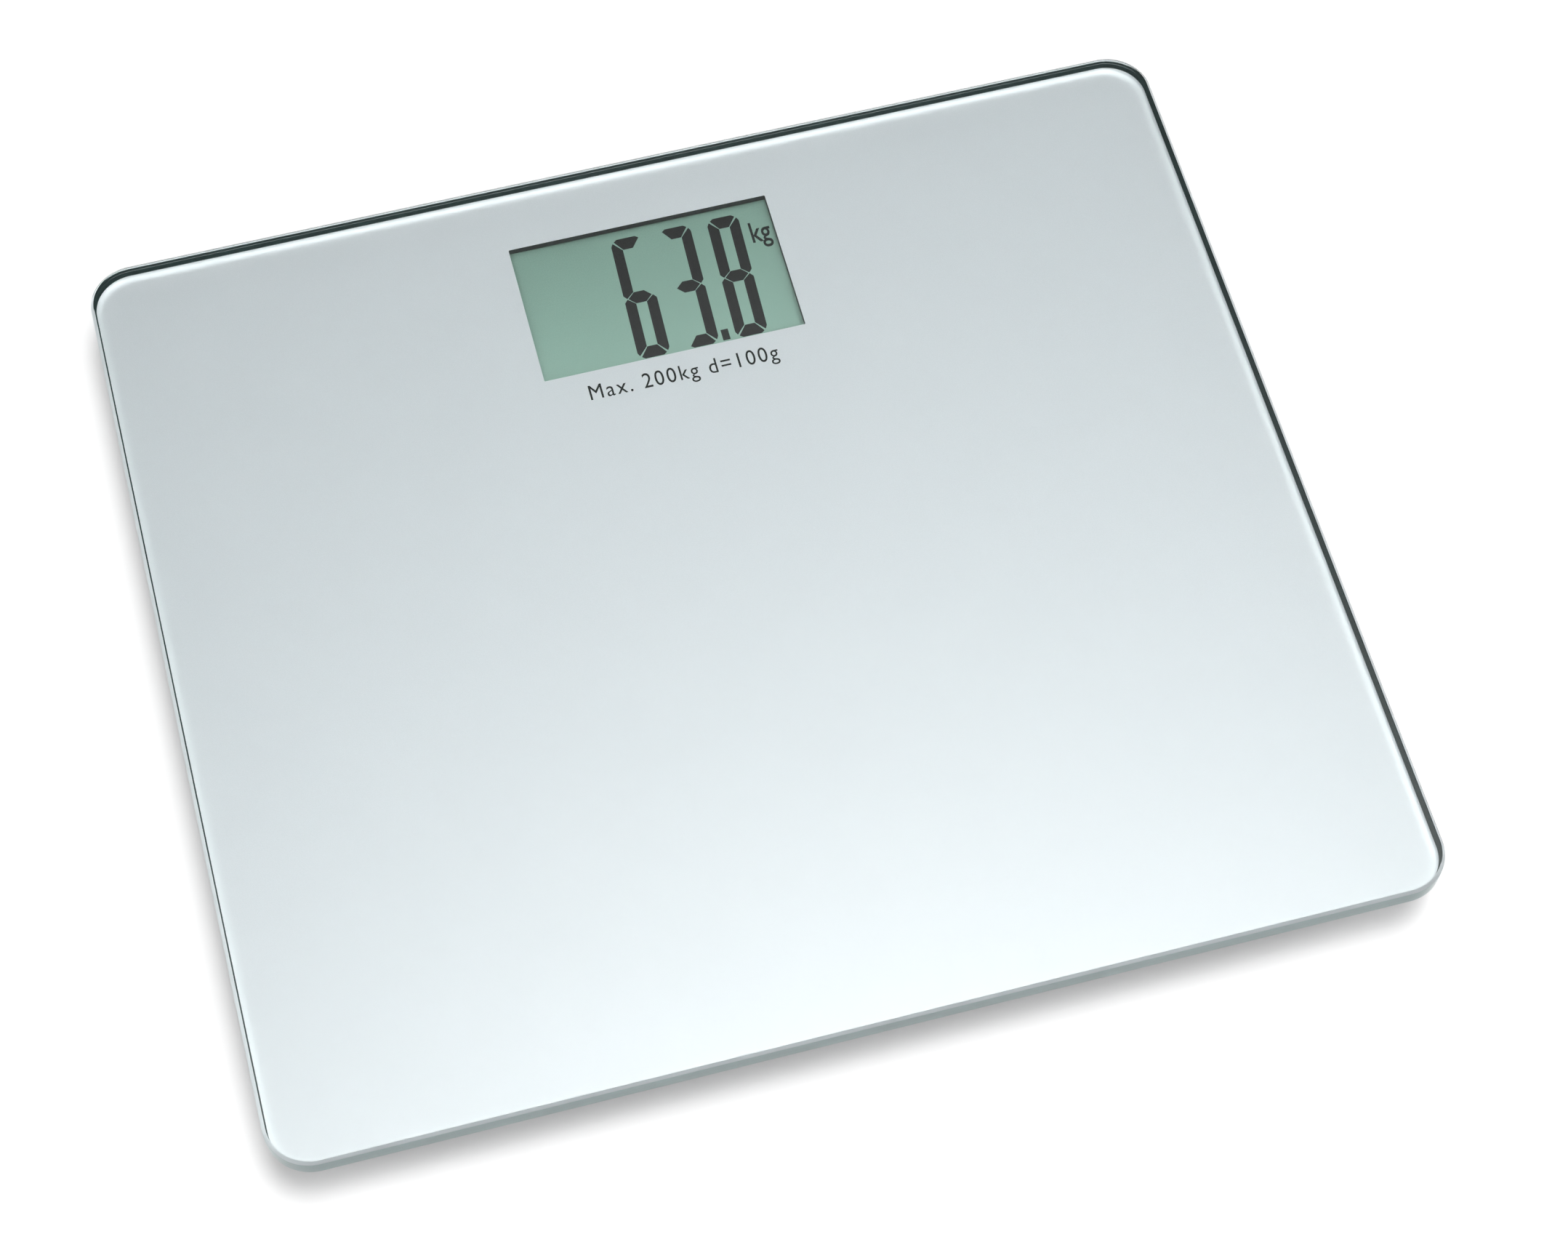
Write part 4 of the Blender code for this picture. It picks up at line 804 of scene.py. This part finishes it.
# %% Electronics finishes
TRACK_PITCH = 0.18
TRACK_EDGE = (0.03, 0.06)
board_finish, tree, shader = new_finish("solder_mask", Roughness=0.32)
track_pattern = {"Vector": object_place(tree), "Scale": 1 / (3.2 * MM)}
tracks = add_node(
    tree, "ShaderNodeTexVoronoi", track_pattern, distance="MANHATTAN", feature="F1"
).outputs["Distance"]
lines = rescale(tree, arithmetic(tree, "PINGPONG", tracks, TRACK_PITCH), *TRACK_EDGE, 0.0, 1.0)
two_tone(tree, shader, lines, (0.05, 0.24, 0.10, 1), (0.015, 0.12, 0.045, 1))
feed(tree, bumped(tree, lines, 0.03 * MM), shader, "Normal")

epoxy_finish, tree, shader = new_finish("potting_black", Roughness=0.25)
two_tone(tree, shader, grain(tree, 2 * MM), (0.010, 0.010, 0.011, 1), (0.022, 0.022, 0.024, 1))

zebra_finish, tree, shader = new_finish("zebra_layers", Roughness=0.6)
band_pattern = {"Vector": object_place(tree), "Scale": 1 / (3 * MM)}
bands = add_node(tree, "ShaderNodeTexWave", band_pattern).outputs[1]
two_tone(tree, shader, bands, (0.02, 0.02, 0.02, 1), (0.50, 0.36, 0.34, 1))

for node, finish in (("circuit_board", board_finish), ("tact_switch", epoxy_finish),
                     ("controller_blob", epoxy_finish), ("zebra_strip", zebra_finish)):
    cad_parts[node].data.materials.clear()
    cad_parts[node].data.materials.append(finish)
    print(node, "gets", finish.name)

# %% [markdown]
# ## Unit button and rating plate
# The button is the same rubber as the pads. The plate is a blank silver film with a
# thin printed border: what a maker prints there is left out.

# %% Rubber, button and plate
rubber_finish, tree, shader = new_finish("pad_rubber", Roughness=0.8)
two_tone(tree, shader, grain(tree, 5 * MM, 4.0), (0.040, 0.040, 0.042, 1), (0.075, 0.075, 0.078, 1))
feed(tree, bumped(tree, grain(tree, 0.3 * MM), 0.03 * MM), shader, "Normal")
button = eased_copy("unit_button", "button_cap", rubber_finish, 0.2 * MM)
stands_for(button, "unit_button", "grey_rubber", "unit_button")

label_low, label_high = box_of("rating_label")
label_middle_y = (label_low[1] + label_high[1]) / 2
BORDER_SIDE = 0.93
BORDER_END = 0.94
BORDER_HALF = 0.008
END_WEIGHT = 0.5
film_finish, tree, shader = new_finish("label_film", Metallic=0.7, Roughness=0.35)
split = add_node(tree, "ShaderNodeSeparateXYZ", {0: object_place(tree)})
side = arithmetic(tree, "DIVIDE", arithmetic(tree, "ABSOLUTE", split.outputs["X"]), label_high[0])
rise = arithmetic(tree, "SUBTRACT", split.outputs["Y"], label_middle_y)
end = arithmetic(tree, "DIVIDE", arithmetic(tree, "ABSOLUTE", rise), label_high[1] - label_middle_y)
weighed = arithmetic(tree, "MULTIPLY", end, END_WEIGHT)
end_share = arithmetic(tree, "ADD", weighed, BORDER_SIDE - BORDER_END * END_WEIGHT)
border = arithmetic(tree, "COMPARE", arithmetic(tree, "MAXIMUM", side, end_share), BORDER_SIDE)
border.node.inputs[2].default_value = BORDER_HALF
two_tone(tree, shader, border, (0.66, 0.67, 0.68, 1), (0.05, 0.05, 0.05, 1))
feed(tree, rescale(tree, grain(tree, 0.8 * MM), *GRAIN_RANGE, 0.30, 0.42), shader, "Roughness")
plate_film = eased_copy("rating_label", "rating_plate", film_finish, 0.03 * MM, 1)
stands_for(plate_film, "root", "label_film", "rating_label")

# %% [markdown]
# ## Geometry Nodes helpers
# What repeats is made by small node trees: a tree has named inputs for its sizes,
# and an object's modifier sets them by each socket's identifier. The result is then
# turned into a plain mesh, because the export drops instances.


# %% Geometry Nodes helpers
INPUT_KINDS = {float: "NodeSocketFloat", int: "NodeSocketInt", type(None): "NodeSocketMaterial"}


def new_tree(name, inputs):
    """A Geometry Nodes tree with a geometry input and named inputs, whose kinds follow their defaults."""
    tree = bpy.data.node_groups.new(name, "GeometryNodeTree")
    tree.interface.new_socket("Geometry", in_out="INPUT", socket_type="NodeSocketGeometry")
    for label, default in inputs.items():
        kind = INPUT_KINDS[type(default)]
        socket = tree.interface.new_socket(label, in_out="INPUT", socket_type=kind)
        if default is not None:
            socket.default_value = default
    tree.interface.new_socket("Geometry", in_out="OUTPUT", socket_type="NodeSocketGeometry")
    return tree, add_node(tree, "NodeGroupInput"), add_node(tree, "NodeGroupOutput")


def finish_tree(tree, geometry, given, out):
    """Ends a tree in Realize Instances and Set Material, with the material given as Finish."""
    real = add_node(tree, "GeometryNodeRealizeInstances", {0: geometry}).outputs[0]
    finish = {"Geometry": real, "Material": given.outputs["Finish"]}
    painted = add_node(tree, "GeometryNodeSetMaterial", finish)
    tree.links.new(painted.outputs[0], out.inputs[0])


def joined(tree, *parts):
    """Several geometries in one."""
    join = add_node(tree, "GeometryNodeJoinGeometry")
    for part in parts:
        tree.links.new(part, join.inputs[0])
    return join.outputs[0]


def vector_of(tree, x=0.0, y=0.0, z=0.0):
    """A vector from three numbers or sockets."""
    return add_node(tree, "ShaderNodeCombineXYZ", {0: x, 1: y, 2: z}).outputs[0]


def vector_sum(tree, operation, first, second):
    """One sum of a vector with a vector or, for SCALE, with a number."""
    key = "Scale" if operation == "SCALE" else 1
    return add_node(tree, "ShaderNodeVectorMath", {0: first, key: second}, operation=operation).outputs[0]


def cone(tree, sides, top, bottom, depth):
    """A closed, cut-off cone between two radii."""
    sizes = {"Vertices": sides, "Radius Top": top, "Radius Bottom": bottom, "Depth": depth}
    return add_node(tree, "GeometryNodeMeshCone", sizes).outputs[0]


def moved(tree, geometry, shift=(0, 0, 0), turn=(0, 0, 0)):
    """A geometry, turned and then shifted."""
    values = {"Geometry": geometry, "Translation": shift, "Rotation": turn}
    return add_node(tree, "GeometryNodeTransform", values).outputs[0]


def copies(tree, points, shape, turn=(0, 0, 0)):
    """One copy of a shape on each point."""
    values = {"Points": points, "Instance": shape, "Rotation": turn}
    return add_node(tree, "GeometryNodeInstanceOnPoints", values).outputs[0]


def run_tree(tree, name, source, **sizes):
    """Runs a tree on an object and returns the plain mesh that it makes."""
    holder = bpy.data.objects.new(name, source)
    scene.collection.objects.link(holder)
    modifier = holder.modifiers.new("nodes", "NODES")
    modifier.node_group = tree
    for item in tree.interface.items_tree:
        label = item.name.replace(" ", "_").lower()
        if item.in_out == "INPUT" and label in sizes:
            modifier[item.identifier] = sizes[label]
    bpy.context.view_layer.update()
    graph = bpy.context.evaluated_depsgraph_get()
    mesh = bpy.data.meshes.new_from_object(holder.evaluated_get(graph), depsgraph=graph)
    bpy.data.objects.remove(holder)
    return mesh


def piece_of(name, *meshes, crease=28.0):
    """One object from one or more plain meshes, each with its own material."""
    bm = bmesh.new()
    finishes = []
    for mesh in meshes:
        start = len(bm.faces)
        bm.from_mesh(mesh)
        bm.faces.ensure_lookup_table()
        for face in bm.faces[start:]:
            face.material_index = len(finishes)
        finishes.append([material for material in mesh.materials if material][-1])
    piece = piece_from(bm, name, finishes[0], crease)
    for finish in finishes[1:]:
        piece.data.materials.append(finish)
    return piece


def points_mesh(name, points):
    """A mesh of loose points for a tree to work on."""
    mesh = bpy.data.meshes.new(name)
    mesh.from_pydata([tuple(p) for p in points], [], [])
    return mesh


print("geometry nodes helpers ready")

# %% [markdown]
# ## Screws
# Four screws hold the cover and two hold the board. All are the same small pan head
# with a cross recess. The tree cuts the cross once, then puts a copy on each point,
# turned by a random angle, because nobody drives screws to the same angle.

# %% Screw tree
SCREW_HEAD = 0.8 * MM
SHANK_TIP = 0.4 * MM
CROSS_LIFT = 0.35 * MM
tree, given, out = new_tree("pan_screws", {
    "Head Radius": 2.7 * MM, "Head Height": SCREW_HEAD, "Shank Radius": 1.25 * MM,
    "Length": 8.5 * MM, "Seed": 3, "Finish": None,
})
radius, height = given.outputs["Head Radius"], given.outputs["Head Height"]
head = cone(tree, 40, radius, arithmetic(tree, "MULTIPLY", radius, 0.80), height)
slot_long = arithmetic(tree, "MULTIPLY", radius, 1.15)
slot_short = arithmetic(tree, "MULTIPLY", radius, 0.24)
cut = add_node(tree, "GeometryNodeMeshBoolean", {0: head}, operation="DIFFERENCE", solver="EXACT")
for wide, deep in ((slot_long, slot_short), (slot_short, slot_long)):
    size = vector_of(tree, wide, deep, height)
    bar = add_node(tree, "GeometryNodeMeshCube", {"Size": size}).outputs[0]
    tree.links.new(moved(tree, bar, shift=(0, 0, -CROSS_LIFT)), cut.inputs[1])
shank = cone(tree, 20, SHANK_TIP, given.outputs["Shank Radius"], given.outputs["Length"])
seat = vector_of(tree, z=arithmetic(tree, "MULTIPLY", height, 0.5))
whole = joined(tree, cut.outputs[0], moved(tree, shank, shift=seat))
angle = add_node(tree, "FunctionNodeRandomValue", {"Seed": given.outputs["Seed"]}, data_type="FLOAT")
angle.inputs[3].default_value = math.tau
turn = vector_of(tree, z=angle.outputs[1])
finish_tree(tree, copies(tree, given.outputs[0], whole, turn), given, out)

for name, count in (("cover_screw", 4), ("board_screw", 2)):
    nodes = [f"{name}_{number + 1}" for number in range(count)]
    seats = []
    for node in nodes:
        low, high = box_of(node)
        seats.append(((low[0] + high[0]) / 2, (low[1] + high[1]) / 2, low[2] + SCREW_HEAD / 2))
    points = points_mesh(name, seats)
    mesh = run_tree(tree, name, points, length=high[2] - low[2] - SCREW_HEAD, finish=screw_zinc)
    stands_for(piece_of(f"{name}s", mesh), "root", "screw_steel", *nodes)

# %% [markdown]
# ## Pads with a tread
# Each pad is a rubber disc with rings of small studs that grip the floor. The tree
# makes a disc, four rings of points and one stud, and puts the stud on every point.

# %% Tread tree
STUD_RINGS = ((0.24, 6), (0.47, 12), (0.70, 18), (0.90, 26))
STUD_HEIGHT = 0.5 * MM
tree, given, out = new_tree("pad_tread", {
    "Radius": 17.5 * MM, "Thickness": 1.7 * MM, "Stud Height": STUD_HEIGHT,
    "Stud Radius": 1.0 * MM, "Finish": None,
})
radius, height = given.outputs["Radius"], given.outputs["Stud Height"]
narrow = arithmetic(tree, "MULTIPLY", radius, 0.975)
disc = cone(tree, 96, radius, narrow, given.outputs["Thickness"])
stud_radius = given.outputs["Stud Radius"]
stud_top = arithmetic(tree, "MULTIPLY", stud_radius, 0.72)
stud = cone(tree, 14, stud_radius, stud_top, arithmetic(tree, "MULTIPLY", height, 1.2))
rings = []
for share, count in STUD_RINGS:
    away = arithmetic(tree, "MULTIPLY", radius, share)
    ring = add_node(tree, "GeometryNodeMeshCircle", {"Vertices": count, "Radius": away})
    rings.append(ring.outputs[0])
studs = copies(tree, joined(tree, *rings), stud)
pad = joined(tree, moved(tree, disc, shift=vector_of(tree, z=height)), studs)
finish_tree(tree, copies(tree, given.outputs[0], pad), given, out)

for corner in CORNERS:
    low, high = box_of(f"foot_pad_{corner}")
    middle = [((low[0] + high[0]) / 2, (low[1] + high[1]) / 2, low[2])]
    mesh = run_tree(
        tree, f"pad_{corner}", points_mesh("pad_seat", middle), finish=rubber_finish,
        thickness=high[2] - low[2] - STUD_HEIGHT, stud_height=STUD_HEIGHT,
    )
    stands_for(piece_of(f"foot_tread_{corner}", mesh), f"foot_{corner}", "grey_rubber", f"foot_pad_{corner}")

# %% [markdown]
# ## Grip ribs on the battery door
# A thumb pulls the door, so its outer face has a row of half-round ribs. One rib is
# a thin cylinder lying on its side, repeated along a line.

# %% Rib tree
RIB_COUNT = 6
RIB_PITCH = 1.5 * MM
RIB_SETBACK = 3.5 * MM
RIB_SUNK = 0.12 * MM
tree, given, out = new_tree("grip_ribs", {
    "Count": RIB_COUNT, "Pitch": RIB_PITCH, "Length": 14 * MM,
    "Radius": 0.35 * MM, "Finish": None,
})
rib_size = {"Vertices": 16, "Radius": given.outputs["Radius"], "Depth": given.outputs["Length"]}
rib = add_node(tree, "GeometryNodeMeshCylinder", rib_size).outputs[0]
lying = moved(tree, rib, turn=(0, math.pi / 2, 0))
spread = {"Count": given.outputs["Count"], "Offset": vector_of(tree, y=given.outputs["Pitch"])}
row = add_node(tree, "GeometryNodeMeshLine", spread).outputs[0]
ribs = copies(tree, row, lying)
finish_tree(tree, copies(tree, given.outputs[0], ribs), given, out)

cover_low = box_of("housing_cover")[0]
door_low, door_high = box_of("battery_door")
first_rib_y = (door_low[1] + door_high[1]) / 2 - RIB_SETBACK
rib_start = [(0.0, first_rib_y, cover_low[2] + RIB_SUNK)]
mesh = run_tree(tree, "ribs", points_mesh("rib_row", rib_start), finish=housing_black,
                pitch=RIB_PITCH, count=RIB_COUNT)
stands_for(piece_of("door_ribs", mesh), "battery_door", "black_abs")

# %% [markdown]
# ## Three-core leads
# A load cell needs three fine wires, which are twisted together and clipped along a
# fixed route. The route is a smooth curve through a few knots. The tree walks along
# it, turns a point round the route at an even rate and sweeps a small circle.


# %% Lead route
def knot_slope(before, here, after):
    """The slope at a knot: none along an axis where the route is level or turns back."""
    slope = Vector((0.0, 0.0, 0.0))
    for axis in range(3):
        arriving = here[axis] - before[axis]
        leaving = after[axis] - here[axis]
        if arriving * leaving > 0:
            slope[axis] = 2 * arriving * leaving / (arriving + leaving)
    return slope


def smooth_route(knots, spacing):
    """Points about a spacing apart on a smooth curve through the knots, in mm."""
    knots = [Vector(knot) for knot in knots]
    slopes = [knots[1] - knots[0]]
    for before, here, after in zip(knots, knots[1:], knots[2:]):
        slopes.append(knot_slope(before, here, after))
    slopes.append(knots[-1] - knots[-2])
    points = []
    for start, end, leaving, arriving in zip(knots, knots[1:], slopes, slopes[1:]):
        count = max(1, round((end - start).length / spacing))
        for step in range(count):
            t = step / count
            place = start * (2 * t**3 - 3 * t**2 + 1) + end * (3 * t**2 - 2 * t**3)
            place += leaving * (t**3 - 2 * t**2 + t) + arriving * (t**3 - t**2)
            points.append(place)
    points.append(knots[-1])
    return points


ROUTE_SPACING_MM = 2.0
FOOT_X, FOOT_Y = 152.0, 129.0
CELL_EDGE, CUP_EDGE, RISE = 17.0, 27.0, 16.0
CELL_Z, RUN_Z, ENTRY_Z = 13.45, 18.0, 13.55
HOUSING_EDGE, INSIDE = 63.0, 50.0
ENTRY_Y, TURN = 89.1, 40.0
SHARES = (0.0, 0.15, 0.5, 0.85, 1.0)


def lead_knots(corner):
    """The knots of one lead's route, from its cell to the housing, in mm."""
    side = -1 if corner.endswith("left") else 1
    outer, inner = FOOT_X - CUP_EDGE - RISE, HOUSING_EDGE + RISE
    if corner.startswith("back"):
        knots = [(side * (FOOT_X - edge), FOOT_Y, CELL_Z) for edge in (CELL_EDGE, CUP_EDGE)]
        knots += [(side * (outer + (inner - outer) * share), FOOT_Y, RUN_Z) for share in SHARES]
        return knots + [(side * HOUSING_EDGE, FOOT_Y, ENTRY_Z), (side * INSIDE, FOOT_Y, ENTRY_Z)]
    start, end = -FOOT_Y + CUP_EDGE + RISE, ENTRY_Y - TURN
    knots = [(side * FOOT_X, edge - FOOT_Y, CELL_Z) for edge in (CELL_EDGE, CUP_EDGE)]
    knots += [(side * FOOT_X, start + (end - start) * share, RUN_Z) for share in SHARES]
    knots.append((side * (FOOT_X - TURN / 3), ENTRY_Y - TURN / 3, RUN_Z))
    knots.append((side * (FOOT_X - TURN), ENTRY_Y, RUN_Z))
    knots.append((side * inner, ENTRY_Y, RUN_Z))
    return knots + [(side * HOUSING_EDGE, ENTRY_Y, ENTRY_Z), (side * INSIDE, ENTRY_Y, ENTRY_Z)]


print("a back lead has", len(smooth_route(lead_knots("back_left"), ROUTE_SPACING_MM)), "points")

# %% Wire tree
WIRE_STEP = 0.9 * MM
tree, given, out = new_tree("twisted_wire", {
    "Phase": 0.0, "Pitch": 11 * MM, "Offset": 0.50 * MM,
    "Radius": 0.43 * MM, "Finish": None,
})
fine = add_node(tree, "GeometryNodeResampleCurve", {"Curve": given.outputs[0]}, mode="LENGTH")
fine.inputs["Length"].default_value = WIRE_STEP
along = add_node(tree, "GeometryNodeSplineParameter").outputs["Length"]
turns = arithmetic(tree, "DIVIDE", along, given.outputs["Pitch"])
angle = arithmetic(tree, "ADD", arithmetic(tree, "MULTIPLY", turns, math.tau), given.outputs["Phase"])
normal = add_node(tree, "GeometryNodeInputNormal").outputs[0]
tangent = add_node(tree, "GeometryNodeInputTangent").outputs[0]
across = vector_sum(tree, "CROSS_PRODUCT", tangent, normal)
part_a = vector_sum(tree, "SCALE", normal, arithmetic(tree, "COSINE", angle))
part_b = vector_sum(tree, "SCALE", across, arithmetic(tree, "SINE", angle))
outward = vector_sum(tree, "ADD", part_a, part_b)
shift = vector_sum(tree, "SCALE", outward, given.outputs["Offset"])
wound = add_node(tree, "GeometryNodeSetPosition", {"Geometry": fine.outputs[0], "Offset": shift})
circle = {"Resolution": 8, "Radius": given.outputs["Radius"]}
section = add_node(tree, "GeometryNodeCurvePrimitiveCircle", circle)
sweep = {"Curve": wound.outputs[0], "Profile Curve": section.outputs[0], "Fill Caps": True}
swept = add_node(tree, "GeometryNodeCurveToMesh", sweep)
finish_tree(tree, swept.outputs[0], given, out)
wire_tree = tree
print("wire tree ready")


# %% Leads
def vinyl(name, colour):
    """Coloured wire insulation, slightly mottled."""
    material, tree, shader = new_finish(name, Roughness=0.42)
    pale = tuple(min(1.0, 1.25 * c + 0.01) for c in colour) + (1.0,)
    two_tone(tree, shader, grain(tree, 1.5 * MM), colour + (1.0,), pale)
    return material


WIRES = (vinyl("wire_red", (0.42, 0.02, 0.02)), vinyl("wire_white", (0.62, 0.62, 0.60)),
         vinyl("wire_black", (0.015, 0.015, 0.016)))
for corner in CORNERS:
    curve = bpy.data.curves.new("route_" + corner, "CURVE")
    curve.dimensions = "3D"
    route = smooth_route(lead_knots(corner), ROUTE_SPACING_MM)
    spline = curve.splines.new("POLY")
    spline.points.add(len(route) - 1)
    for point, place in zip(spline.points, route):
        point.co = (*(place * MM), 1.0)
    meshes = []
    for number, wire in enumerate(WIRES):
        meshes.append(run_tree(wire_tree, "wire", curve, phase=number * math.tau / 3, finish=wire))
    lead = piece_of(f"three_core_lead_{corner}", *meshes)
    stands_for(lead, "root", "lead_vinyl", f"lead_{corner}")
